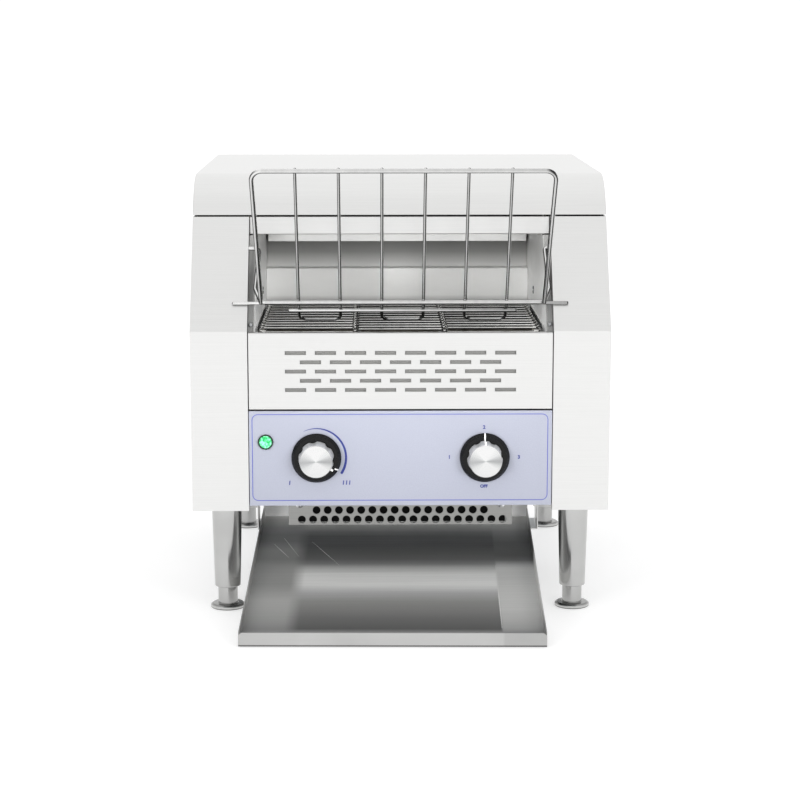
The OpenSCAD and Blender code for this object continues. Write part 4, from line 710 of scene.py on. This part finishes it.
def buildFasteners():
    f = fasteners
    # a pan head screw low on each folded edge of the inner plates
    lean = math.radians(f["screwLean"])
    x, y, z = f["screwAt"]
    r, h = f["screwRadius"], f["screwHeight"]
    profile = rounded([(r, -0.3), (r, 0.5), (r * 0.7, h - 0.2), (0.2, h)], 0.5, 4)
    way = (0, -math.cos(lean), math.sin(lean))
    heads = [lathe(profile, place(side * x, y, z), way, 28) for side in (-1, 1)]
    addPiece("flangeScrews", *joined(heads), screwSteel, "casing", slotOf["case_screws"])
    # two small rivets, one over the other, near the rear edge of each plate
    x, y = f["rivetAt"]
    r, h = f["rivetRadius"], f["rivetHeight"]
    profile = rounded([(r, -0.2), (r, 0.2), (r * 0.6, h - 0.1), (0.2, h)], 0.3, 3)
    rivets = [lathe(profile, place(side * x, y, z), (-side, 0, 0), 20)
              for side in (-1, 1) for z in f["rivetHeights"]]
    addPiece("plateRivets", *joined(rivets), phenolic, "casing", slotOf["case_screws"])


buildFasteners()


inside = {
    "upper_heaters": sheath, "lower_heaters": sheath, "heater_collars": steatite, "front_shaft": shaftSteel,
    "rear_shaft": shaftSteel, "front_sprockets": sprocketSteel, "rear_sprockets": sprocketSteel,
    "driven_sprocket": sprocketSteel, "motor_sprocket": sprocketSteel, "shaft_bushes": bronze,
    "gearmotor": motorCast, "motor_shaft": shaftSteel, "drive_chain": sprocketSteel, "fan_frame": nylon,
    "fan_rotor": nylon, "speed_control": nylon, "selector_switch": nylon, "speed_spindle": shaftSteel,
    "selector_spindle": shaftSteel, "leg_nuts": screwSteel, "case_screws": paleScrew,
    "terminal_block": steatite, "control_board": boardGreen, "thermal_cutout": steatite, "cable_gland": nylon,
}
for node, material in inside.items():
    softenNode(node, material, casing["fineFold"], casing["fineEdge"])
print("inner pieces dressed:", len(inside))


# feed rack

rack = {
    "wire": 4.0,          # hoop, mm
    "footWire": 3.7,
    "thinWire": 2.8,      # uprights
    "rodWire": 3.0,       # hanger rod
    "restWire": 3.2,
    "bend": 9.0,
    "loopBend": 6.0,
    "hookBend": 5.5,
    "shift": 2.0,         # it hangs a little to the right
    "half": 128.0,
    "footHalf": 124.0,
    "pitch": 36.5,        # between the uprights
    "loops": 3,
    "out": 58.0,          # top bar in front of the columns
    "top": 399.5,         # height of the top bar
    "rodHeight": 279.6,
    "slope": math.atan2(56.0, 97.0),      # of the columns' front faces, from upright
    "kink": 256.0,        # height at which that slope starts
    "weld": 0.3,          # how deep two wires are pressed together
    "nugget": [(1.2, -0.9), (1.9, -0.35), (1.9, 0.35), (1.2, 0.9)],
    "footTurn": math.radians(22),
    "loopHeight": 262.5,
    "loopIn": 23.0,
    "restIn": 9.2,
    "restOver": 8.0,
    "hookOut": 129.45,
    "hookEnd": 133.3,
    "hookLean": 3.2,
    "hookUp": 45.0,
    "hookRise": 10.0,
    "hookGap": 2.0,
    "tipOver": -0.2,      # the uprights end just under the top bar's upper side
}


def slopeY(height):
    return (height - rack["kink"]) * math.tan(rack["slope"])


def buildRack():
    r = rack
    rodY = slopeY(r["rodHeight"]) - (r["rodWire"] / 2 + 0.3) / math.cos(r["slope"])
    step = (r["rodWire"] + r["footWire"]) / 2 - r["weld"]
    footY = rodY - step * math.cos(r["footTurn"])
    footZ = r["rodHeight"] + step * math.sin(r["footTurn"])
    lean = math.atan2(r["out"] + footY, r["top"] - footZ)
    s, half, foot = r["shift"], r["half"], r["footHalf"]
    hoop = [place(s - foot, footY, footZ), place(s - half, -r["out"], r["top"]),
            place(s + half, -r["out"], r["top"]), place(s + foot, footY, footZ)]
    # the foot bar turns up into a hook inside each column
    hookX = r["hookOut"]
    hookTop = r["rodHeight"] + r["hookUp"]
    hookZ = footZ + r["hookRise"]
    topY, lowY = slopeY(hookTop) + r["hookGap"], slopeY(hookZ) + r["hookGap"]
    bar = [place(-r["hookEnd"], topY, hookTop), place(s - hookX + r["hookLean"], topY, hookTop),
           place(s - hookX, lowY, hookZ), place(s - foot, footY, footZ), place(s + foot, footY, footZ),
           place(s + hookX, lowY, hookZ), place(s + hookX - r["hookLean"], topY, hookTop),
           place(r["hookEnd"], topY, hookTop)]
    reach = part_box("rack_frame")[1].x / millimetre
    rod = [place(-reach, rodY, r["rodHeight"]), place(reach, rodY, r["rodHeight"])]
    parts = [sweptWire(bentPath(hoop, r["bend"] * millimetre, 10), r["wire"] / 2 * millimetre),
             sweptWire(bentPath(bar, r["hookBend"] * millimetre, 8), r["footWire"] / 2 * millimetre),
             sweptWire(rod, r["rodWire"] / 2 * millimetre)]
    addPiece("feedRackFrame", *joined(parts), rackChrome, "feed_rack", "rack_wire", ("rack_frame",))
    back = (r["wire"] + r["thinWire"]) / 2 - r["weld"]
    topY, topZ = -r["out"] + back * math.cos(lean), r["top"] + back * math.sin(lean)
    bendY, bendZ = footY + back * math.cos(lean), footZ + back * math.sin(lean)
    tipY, tipZ = topY - r["tipOver"] * math.sin(lean), topZ + r["tipOver"] * math.cos(lean)
    loopY = bendY + r["loopIn"]
    fall = math.atan2(bendZ - r["loopHeight"], r["loopIn"])
    count = 2 * r["loops"]
    loops = []
    for i in range(r["loops"]):
        x0 = s + (2 * i - (count - 1) / 2) * r["pitch"]
        x1 = x0 + r["pitch"]
        line = [place(x0, tipY, tipZ), place(x0, bendY, bendZ), place(x0, loopY, r["loopHeight"]),
                place(x1, loopY, r["loopHeight"]), place(x1, bendY, bendZ), place(x1, tipY, tipZ)]
        loops.append(sweptWire(bentPath(line, r["loopBend"] * millimetre, 8), r["thinWire"] / 2 * millimetre))
    addPiece("feedRackUprights", *joined(loops), uprightChrome, "feed_rack", "rack_wire", ("rack_uprights",))
    drop = (r["restWire"] + r["thinWire"]) / 2 - r["weld"]
    restY = bendY + r["restIn"] - drop * math.sin(fall)
    restZ = bendZ - r["restIn"] * math.tan(fall) - drop * math.cos(fall)
    restHalf = (r["loops"] - 0.5) * r["pitch"] + r["restOver"]
    rest = [place(s - restHalf, restY, restZ), place(s + restHalf, restY, restZ)]
    addPiece("feedRackRestRod", *sweptWire(rest, r["restWire"] / 2 * millimetre), rackChrome, "feed_rack",
             "rack_wire", ("rack_rest_rod",))
    # resistance welds: a small nugget wherever two wires cross
    nuggets = []
    for k in range(count):
        x = s + (k - (count - 1) / 2) * r["pitch"]
        for a, b in (((topY, topZ), (-r["out"], r["top"])), ((bendY, bendZ), (footY, footZ))):
            middle = place(x, (a[0] + b[0]) / 2, (a[1] + b[1]) / 2)
            nuggets.append(lathe(r["nugget"], middle, place(x, *b) - place(x, *a), 12))
    addPiece("feedRackWelds", *joined(nuggets), rackChrome, "feed_rack", "rack_wire")


buildRack()
print("feed rack bent")


# belt

belt = {
    "pitch": 16.0,
    "teeth": 8,           # of its sprockets
    "run": 160.0,         # between the shafts
    "wire": 2.0,
    "frontShaft": 27.0,
    "height": 233.928,
    "half": 124.5,
    "link": 39.5,         # inner links
    "hook": 5.0,          # length of the clinched ends
    "hookShort": 1.7,     # they end this far behind the wire in front
    "hookLift": 0.3,
    "shoulder": (2.0, 5.0),   # how far in and along the sides turn into the cross wire
    "shift": 8.0,         # side zones lie half a pitch behind the middle
    "spread": 1.25,       # half width of a hairpin
    "reach": 6.4,         # a hairpin reaches this far forward
    "reachLift": 0.4,
    "mouth": (1.2, 1.5),  # corners of its mouth, out and along
    "bend": 1.1,
    "stretch": 4.0,       # longest straight piece on the way round
}


def beltPoint(x, s, lift=0.0):
    # a point on the belt's loop, s mm along from above the front shaft
    radius = belt["pitch"] * belt["teeth"] / (2 * math.pi)
    turn = math.pi * radius
    s = s % (2 * belt["run"] + 2 * turn)
    if s < belt["run"]:
        y, angle = s, math.pi / 2
    elif s < belt["run"] + turn:
        y, angle = belt["run"], math.pi / 2 - (s - belt["run"]) / radius
    elif s < 2 * belt["run"] + turn:
        y, angle = 2 * belt["run"] + turn - s, -math.pi / 2
    else:
        y, angle = 0.0, -math.pi / 2 - (s - 2 * belt["run"] - turn) / radius
    r = radius + lift
    return place(x, belt["frontShaft"] + y + r * math.cos(angle), belt["height"] + r * math.sin(angle))


def buildBelt():
    b = belt
    outer = b["half"] - b["wire"] / 2
    inward, along = b["shoulder"]
    out, down = b["mouth"]
    wide, close = b["link"] + b["spread"], b["link"] - b["spread"]
    strands = []
    for i in range(round(2 * b["run"] / b["pitch"]) + b["teeth"]):
        s = i * b["pitch"]
        side = s + b["shift"]
        tip = side - b["pitch"] + b["hookShort"]
        # across the belt, along it and above it, from an outer end to the middle
        edge = [(outer - b["hook"], tip, b["hookLift"]), (outer, tip, b["hookLift"]),
                (outer, side - along, 0.0), (outer - inward, side, 0.0), (wide + out, side, 0.0),
                (wide, side - down, 0.0), (wide, s - b["reach"], b["reachLift"]),
                (close, s - b["reach"], b["reachLift"]), (close, s - down, 0.0), (close - out, s, 0.0)]
        line = [(-x, *rest) for x, *rest in edge] + edge[::-1]
        path = []
        for (x0, s0, h0), (x1, s1, h1) in zip(line, line[1:]):
            pieces = max(1, math.ceil(abs(s1 - s0) / b["stretch"]))
            path += [beltPoint(x0 + (x1 - x0) * k / pieces, s0 + (s1 - s0) * k / pieces,
                               h0 + (h1 - h0) * k / pieces) for k in range(pieces)]
        path.append(beltPoint(*line[-1]))
        strands.append(sweptWire(bentPath(path, b["bend"] * millimetre, 3), b["wire"] / 2 * millimetre, 10))
    addPiece("conveyorBeltWires", *joined(strands), beltWire, "casing", "belt_wire", ("conveyor_belt",))


buildBelt()
print("belt woven")


# controls

controls = {
    "knobX": 74.2,
    "knobZ": 143.8,
    "bore": 3.1,
    "skirt": 44.0,
    "skirtDepth": 4.5,
    "skirtEdge": 1.4,
    "skirtBevel": 2.6,
    "skirtRound": 0.7,
    "grip": 31.5,
    "cap": 28.7,
    "gripLength": 14.5,
    "capThickness": 1.5,
    "lobes": 7,
    "hollow": 5.4,        # radius of the hollows between the lobes
    "hollowOut": 3.9,     # their centres, outside the grip
    "lobeEase": 0.6,      # width of the soft edge between a lobe and a hollow
    "back": -0.3,         # the knob's rear face, in front of the columns
    "mark": 1.2,          # width of the white pointer lines
    "markRise": 0.06,     # how far they stand out of the skirt
    "nib": 1.5,
    "speedAngle": -29.0,  # pointer above the right-hand horizontal, degrees
    "selectorAngle": 90.0,
    "speedLine": 18.4,    # where the left dial's line starts; the right one's starts at its cap
}


def buildKnob(side, prefix, angle, lineFrom, body):
    c = controls
    x = side * c["knobX"]
    rear = place(x, c["back"], c["knobZ"])
    half, depth = c["skirt"] / 2, c["skirtDepth"]
    crown = half - c["skirtBevel"]
    outline = rounded([(c["bore"], 0), (half - 0.3, 0), (half, 0.5), (half, c["skirtEdge"]), (crown, depth),
                       (c["bore"], depth)], c["skirtRound"], 5)
    node = prefix.lower().replace("knob", "") + "_knob"
    addPiece(prefix + "Skirt", *lathe(outline, rear, (0, -1, 0), 96), phenolic, body, "knob_plastic", (node,))
    front = place(x, c["back"] - depth, c["knobZ"])
    full, core = c["grip"] / 2, c["cap"] / 2
    top = c["gripLength"] - c["capThickness"]
    share = 2 * math.pi / c["lobes"]
    far = full + c["hollowOut"]

    def lobed(radius, height, around):
        # round hollows between the lobes, which taper away towards the cap
        if radius <= core:
            return radius
        across = (around - math.radians(angle)) % share - share / 2
        reach = c["hollow"] ** 2 - (far * math.sin(across)) ** 2
        outer = min(radius, full - (full - core) * height / c["gripLength"])
        dip = far * math.cos(across) - math.sqrt(reach) if reach > 0 else outer + 1
        # the two surfaces meet in a soft edge
        ease = max(0.0, c["lobeEase"] - abs(outer - dip)) ** 2 / (4 * c["lobeEase"])
        return max(core - 0.1, min(outer, dip) - ease)

    sideLine = [(full - 0.5, 0), (full - 0.15, 0.15), (full, 0.5)]
    sideLine += [(full, 0.5 + (top - 1.2) * k / 8) for k in range(1, 9)]
    sideLine += [(full, top - 0.2), (core, top), (core - 0.6, top)]
    addPiece(prefix + "Grip", *lathe(sideLine, front, (0, -1, 0), c["lobes"] * 32, lobed), gripMetal, body,
             "knob_metal", (node + "_grip",))
    tall = c["gripLength"]
    cap = rounded([(core - 0.5, top - 0.4), (core - 0.35, top), (core, top + 0.3), (core, tall - 0.4),
                   (core - 0.4, tall), (0.4, tall - 0.15)], 0.25, 3)
    centre = place(x, 0, c["knobZ"])
    spun = spunAluminium(prefix + "SpunAluminium", centre)
    addPiece(prefix + "Cap", *lathe(cap, front, (0, -1, 0), 96), spun, body, "knob_metal")

    def onDial(radius, height, aside):
        # a point of the dial: out along its pointer, forward and to its left
        a = math.radians(angle)
        return place(x + radius * math.cos(a) - aside * math.sin(a), c["back"] - height,
                     c["knobZ"] + radius * math.sin(a) + aside * math.cos(a))

    def block(ends, width):
        # a strip that follows (radius, bottom, top) along the pointer
        points = [onDial(r, h, w * width / 2) for r, low, high in ends
                  for h, w in ((low, -1), (high, -1), (high, 1), (low, 1))]
        return skinned(points, 4)

    # the line runs out over the skirt and down its bevel; the nib crosses the grip's rim beside the cap
    low = depth - 0.8 * (depth - c["skirtEdge"])
    line = [(lineFrom, depth - 0.1, depth + c["markRise"]), (crown - 0.4, depth - 0.1, depth + c["markRise"]),
            (crown + 0.1, depth - 0.3, depth - 0.02), (half - 0.35, low - 0.4, low),
            (half + 0.02, c["skirtEdge"] - 0.6, c["skirtEdge"])]
    nose = depth + top
    nib = [(core - 0.3, nose - 3.2, nose - 0.1), (core + 2.0, nose - 3.0, nose - 0.3),
           (core + 2.5, nose - 2.7, nose - 0.7)]
    addPiece(prefix + "Pointer", *joined([block(line, c["mark"]), block(nib, c["nib"])]), whiteMark, body,
             "knob_plastic")


buildKnob(-1, "SpeedKnob", controls["speedAngle"], controls["speedLine"], "speed_dial")
buildKnob(1, "SelectorKnob", controls["selectorAngle"], controls["cap"] / 2, "selector_dial")
print("knobs turned")


pilotLamp = {
    # radius and depth behind the front, mm
    "ring": [(5.5, 1.6), (5.5, 0.3), (6.0, 0.0), (6.8, 0.5), (6.8, 2.0), (5.2, 2.0), (4.6, 20)],
    "ringRound": 0.3,
    "base": [(5.4, 1.0), (5.4, 1.4), (3.0, 6.0)],
    "prism": 1.55,        # pitch of the moulded prisms
    "prismRadius": 0.899,
    "prismFoot": 1.0,     # depth of their feet and of their points
    "prismPoint": 0.35,
    "field": 5.0,         # radius that they fill
}


def buildLamp():
    g = pilotLamp
    low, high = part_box("lamp_bezel")
    centre = Vector(((low.x + high.x) / 2, low.y, (low.z + high.z) / 2))
    ring = rounded(g["ring"], g["ringRound"], 3)
    addPiece("pilotLampRing", *lathe(ring, centre, (0, 1, 0), 64), ringGreen, "casing", "lamp_plastic",
             ("lamp_bezel",))
    # moulded prisms: small six sided pyramids in a staggered grid
    points, faces = [], []
    count = math.ceil(g["field"] / (g["prism"] * 0.87)) + 1
    for i in range(-count, count + 1):
        for j in range(-count, count + 1):
            u = (i + (0.5 if j % 2 else 0.0)) * g["prism"]
            v = j * g["prism"] * 0.87
            if math.hypot(u, v) > g["field"]:
                continue
            start = len(points)
            for a in (math.radians(60 * k + 30) for k in range(6)):
                corner = Vector((u + g["prismRadius"] * math.cos(a), g["prismFoot"],
                                 v + g["prismRadius"] * math.sin(a)))
                points.append(centre + corner * millimetre)
            points.append(centre + Vector((u, g["prismPoint"], v)) * millimetre)
            faces += [(start + k, start + (k + 1) % 6, start + 6) for k in range(6)]
    base = lathe(g["base"], centre, (0, 1, 0), 48)
    addPiece("pilotLampLens", *joined([(points, faces), base]), lensGreen, "casing", "lamp_lens",
             ("lamp_lens",), 5.0)


buildLamp()
print("lamp made")


# collecting tray

softenNode("collecting_tray", trayStainless, tray["fold"], tray["edge"])


def buildScratchesAndReflection():
    # each is a flat strip that lies on the sloping sheet and thins out at its ends; the long line at the
    # right is a painted reflection
    t = tray
    back = Matrix.Rotation(math.radians(-t["turn"]), 3, "Z")
    pivot = place(*t["pivot"])
    low, high = -t["scratchDepth"], t["scratchLift"]
    strips = []
    for x0, y0, x1, y1, width in t["scratchesAndReflectionLine"]:
        across = Vector((y1 - y0, x0 - x1, 0)).normalized() * width / 2
        points = []
        for along, share in ((0, t["scratchEnd"]), (0.5, 1.0), (1, t["scratchEnd"])):
            x, y = x0 + (x1 - x0) * along, y0 + (y1 - y0) * along
            floor = t["floor"] + (y - t["front"]) * math.tan(math.radians(t["slope"]))
            for way, up in ((-1, low), (-1, high), (1, high), (1, low)):
                spot = place(x + across.x * share * way, y + across.y * share * way, floor + up)
                points.append(back @ (spot - pivot) + pivot)
        strips.append(skinned(points, 4))
    addPiece("trayScratchesAndReflection", *joined(strips), scratchAndReflectionSheet, "tray", "tray_steel")


buildScratchesAndReflection()
print("tray folded")


# legs and feet

legs = {
    "x": 156.0,
    "front": 33.0,
    "rear": 351.0,
    "top": 96.0,
    "low": 20.0,
    "topWidth": 27.0,
    "lowWidth": 23.3,
    "tube": 76.0,         # length of the tapered part
    "stem": 17.6,
    "stemTop": 40.0,
    "stud": 4.0,          # radius of the thread above a leg
    "studTop": 11.0,
    "foot": 31.5,
    "footDepth": 4.0,
    "footRim": 2.6,       # height of its straight side
    "footBevel": 2.2,
}


def buildLegs():
    g = legs
    places = [(sx * g["x"], y) for sx in (-1, 1) for y in (g["front"], g["rear"])]
    bore, low, top = g["stem"] / 2 + 0.1, g["lowWidth"] / 2, g["topWidth"] / 2
    tube = rounded([(bore, 6), (bore, 0), (low - 0.1, 0), (low, 1.2), (top, g["tube"] - 2), (top, g["tube"]),
                    (g["stud"], g["tube"])], 0.7)
    stud = rounded([(g["stud"], 0), (g["stud"], g["studTop"] - 0.6), (g["stud"] - 0.6, g["studTop"])], 0.3)
    tubes = []
    for x, y in places:
        tubes.append(lathe(tube, place(x, y, g["low"]), (0, 0, 1), 72))
        tubes.append(lathe(stud, place(x, y, g["top"]), (0, 0, 1), 24))
    addPiece("taperedLegs", *joined(tubes), chromeTube, "casing", "leg_metal", ("legs",))
    rim, stem, depth = g["foot"] / 2, g["stem"] / 2, g["footDepth"]
    foot = rounded([(0.5, 0), (rim - 0.6, 0), (rim, 0.6), (rim, g["footRim"]), (rim - g["footBevel"], depth),
                    (stem + 0.6, depth), (stem, depth + 0.6), (stem, g["stemTop"]), (0.5, g["stemTop"])], 0.4)
    for (x, y), corner in zip(places, ("front_left", "rear_left", "front_right", "rear_right")):
        node = "foot_" + corner
        addPiece(node + "_turned", *lathe(foot, place(x, y, 0), (0, 0, 1), 72), footChrome, bodyOf[node],
                 "leg_metal", (node,))


buildLegs()
print("legs turned")


# printed overlay

prints = {
    "left": -130.6, "right": 129.7, "low": 105.3, "high": 182.5, "corner": 5.0,
    "line": 0.7,
    "arc": 26.1, "arcFrom": 116.0, "arcTo": -32.3,
    "arcThin": 0.1,       # width at its thin end and at its thick one
    "arcLine": 2.3,
    "arcSteps": 48,
    "thick": 0.06,
    "sink": 0.02,         # how far the ink reaches into the film
    "bold": 0.2,
    # name, figure, x, z, size, slant, spacing
    "figures": [("speedLow", "I", -98.1, 121.0, 5.06, 0.1, 1.6),
                ("speedHigh", "III", -47.9, 121.1, 5.06, 0.1, 1.6),
                ("dialLeft", "1", 43.0, 143.9, 4.4, 0, 1.0), ("dialTop", "2", 73.6, 170.7, 4.4, 0, 1.0),
                ("dialRight", "3", 104.4, 143.8, 4.4, 0, 1.0), ("dialOff", "OFF", 73.7, 117.6, 3.74, 0, 1.0)],
}


def flatStroke(path, widths, depth):
    # a ribbon of ink on the film, as a thin closed strip
    points = []
    rear, front = depth
    for i, (x, z) in enumerate(path):
        bx, bz = path[max(i - 1, 0)]
        ax, az = path[min(i + 1, len(path) - 1)]
        length = math.hypot(ax - bx, az - bz) or 1.0
        nx, nz = -(az - bz) / length, (ax - bx) / length
        w = widths[i] / 2
        for y, way in ((front, 1), (front, -1), (rear, -1), (rear, 1)):
            points.append(place(x + nx * w * way, y, z + nz * w * way))
    return skinned(points, 4)


def inkText(name, words, x, z, size, slant, apart, depth):
    curve = bpy.data.curves.new(name, "FONT")
    curve.shear = slant
    curve.space_character = apart
    curve.offset = prints["bold"] * millimetre
    curve.body = words
    curve.size = size * millimetre
    curve.align_x = "CENTER"
    curve.align_y = "CENTER"
    curve.extrude = (depth[0] - depth[1]) / 2 * millimetre
    holder = bpy.data.objects.new(name, curve)
    bpy.context.scene.collection.objects.link(holder)
    mesh = bpy.data.meshes.new_from_object(holder.evaluated_get(bpy.context.evaluated_depsgraph_get()))
    bpy.data.objects.remove(holder)
    middle = place(x, (depth[0] + depth[1]) / 2, z)
    mesh.transform(Matrix.Translation(middle) @ Matrix.Rotation(math.pi / 2, 4, "X"))
    return addObject(name, mesh, ink, "casing")


def buildPrints():
    p = prints
    face = (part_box("control_overlay")[0].y - frontY) / millimetre
    depth = (face + p["sink"], face - p["thick"])
    ring = []
    r = p["corner"]
    for cx, cz, start in ((p["right"] - r, p["high"] - r, 0), (p["left"] + r, p["high"] - r, 90),
                          (p["left"] + r, p["low"] + r, 180), (p["right"] - r, p["low"] + r, 270)):
        ring += [(cx + r * math.cos(math.radians(start + a)), cz + r * math.sin(math.radians(start + a)))
                 for a in range(0, 91, 15)]
    ring.append(ring[0])
    addPiece("borderPrint", *flatStroke(ring, [p["line"]] * len(ring), depth), borderInk, "casing",
             "overlay_film")
    # the arc widens on its way round the left dial, and ends in a short rounded tail
    arc, widths = [], []
    for share in (i / p["arcSteps"] for i in range(p["arcSteps"] + 1)):
        a = math.radians(p["arcFrom"] + (p["arcTo"] - p["arcFrom"]) * share)
        arc.append((-controls["knobX"] + p["arc"] * math.cos(a), controls["knobZ"] + p["arc"] * math.sin(a)))
        widths.append(p["arcThin"] + (p["arcLine"] - p["arcThin"]) * share ** 0.6)
    endX, endZ = arc[-1]
    arc += [(endX + step * math.sin(a), endZ - step * math.cos(a)) for step in (0.35, 0.7)]
    widths += [p["arcLine"] * 0.85, p["arcLine"] * 0.3]
    addPiece("speedArcPrint", *flatStroke(arc, widths, depth), ink, "casing", "overlay_film")
    for name, *figure in p["figures"]:
        inkText(name + "Print", *figure, depth)


buildPrints()
print("overlay printed")


# studio

studio = {
    "floor": 12.0,        # metres across
    "floorGlow": 0.5,
    "sky": 1.08,
    "lamps": {            # place, aim, size in metres, watts
        "left": ((-1.3, -2.0, 0.62), (0, 0, 0.28), 0.8, 15),
        "right": ((1.3, -2.0, 0.62), (0, 0, 0.28), 0.8, 15),
    },
    "snoots": {           # narrow lamps: the same, the cone's angle and how soft its rim is
        "chamberLeft": ((-0.9, -1.6, 0.52), (0, -0.08, 0.305), 0.2, 110, 9.0, 0.5),
        "chamberRight": ((0.9, -1.6, 0.52), (0, -0.08, 0.305), 0.2, 110, 9.0, 0.5),
        "tray": ((-0.01, -1.5, 1.25), (-0.01, -0.10, 0.02), 0.12, 30, 5.2, 1.0),
    },
    "lens": 95.9,
    "eye": (-0.02571, -1.99185, 0.51989),
    "eyeTurn": (math.pi / 2 - 0.1744, 0.0002, -0.0137),
}


def buildFloor():
    made, tree, shader = startMaterial("paleFloor", Emission_Color=(1, 1, 1, 1),
                                       Emission_Strength=studio["floorGlow"], Specular_IOR_Level=0.2)
    addFinish(tree, shader, addNoise(tree, (400, 400, 400), 2.0), ("#c2c2c2", "#c6c6c6"), (0.55, 0.65))
    mesh = bpy.data.meshes.new("floor")
    h = studio["floor"] / 2
    mesh.from_pydata([(-h, -h, 0), (h, -h, 0), (h, h, 0), (-h, h, 0)], [], [(0, 1, 2, 3)])
    mesh.materials.append(made)
    floor = bpy.data.objects.new("floor", mesh)
    bpy.context.scene.collection.objects.link(floor)


def buildSky():
    # a white room with softly darker walls, seen in the steel; straight behind the part it is plain white
    world = bpy.data.worlds.new("studio")
    bpy.context.scene.world = world
    world.use_nodes = True
    tree = world.node_tree
    tree.nodes.clear()
    out = addNode(tree, "ShaderNodeTexCoord").outputs["Generated"]
    way = addNode(tree, "ShaderNodeSeparateXYZ", {"Vector": out})
    depth = addNode(tree, "ShaderNodeMapRange", {"Value": way.outputs["Y"], "From Min": -1.0,
                                                 "From Max": 1.0})
    room = addNode(tree, "ShaderNodeValToRGB", {"Fac": depth.outputs["Result"]},
                   [(0.0, "#ffffff"), (0.16, "#f6f6f6"), (0.5, "#ffffff"), (1.0, "#ffffff")])
    aside = addNode(tree, "ShaderNodeMath", {0: way.outputs["X"]}, operation="ABSOLUTE")
    walls = addNode(tree, "ShaderNodeValToRGB", {"Fac": aside.outputs["Value"]},
                    [(0.45, "#ffffff"), (0.95, "#d8d8d8")])
    lit = addNode(tree, "ShaderNodeVectorMath", {0: room.outputs["Color"], 1: walls.outputs["Color"]},
                  operation="MULTIPLY")
    below = addNode(tree, "ShaderNodeMath", {0: way.outputs["Z"], 1: 0.0}, operation="LESS_THAN")
    seen = addNode(tree, "ShaderNodeLightPath").outputs["Is Camera Ray"]
    white = addNode(tree, "ShaderNodeMath", {0: below.outputs["Value"], 1: seen}, operation="MAXIMUM")
    whole = addNode(tree, "ShaderNodeMix", {0: white.outputs["Value"], 6: lit.outputs["Vector"],
                                            7: (1, 1, 1, 1)}, data_type="RGBA")
    sky = addNode(tree, "ShaderNodeBackground", {"Color": whole.outputs[2], "Strength": studio["sky"]})
    addNode(tree, "ShaderNodeOutputWorld", {"Surface": sky.outputs["Background"]})


def buildStudio():
    lamps = [(name, "AREA", values) for name, values in studio["lamps"].items()]
    lamps += [(name, "SPOT", values) for name, values in studio["snoots"].items()]
    for name, kind, (spot, aim, size, power, *cone) in lamps:
        lamp = bpy.data.lights.new(name, kind)
        lamp.energy = power
        if cone:
            lamp.spot_size = math.radians(cone[0])
            lamp.spot_blend = cone[1]
            lamp.shadow_soft_size = size
        else:
            lamp.size = size
        holder = bpy.data.objects.new(name, lamp)
        holder.visible_glossy = False      # it lights what is matt, and leaves no hot spot on the steel
        holder.location = spot
        holder.rotation_euler = (Vector(aim) - Vector(spot)).to_track_quat("-Z", "Y").to_euler()
        bpy.context.scene.collection.objects.link(holder)
    eye = bpy.data.cameras.new("camera")
    eye.lens = studio["lens"]
    eye.sensor_width = 36.0
    camera = bpy.data.objects.new("camera", eye)
    camera.location = studio["eye"]
    camera.rotation_euler = studio["eyeTurn"]
    bpy.context.scene.collection.objects.link(camera)
    bpy.context.scene.camera = camera
    bpy.context.scene.view_settings.view_transform = "Standard"


buildFloor()
buildSky()
buildStudio()
print("studio lit")
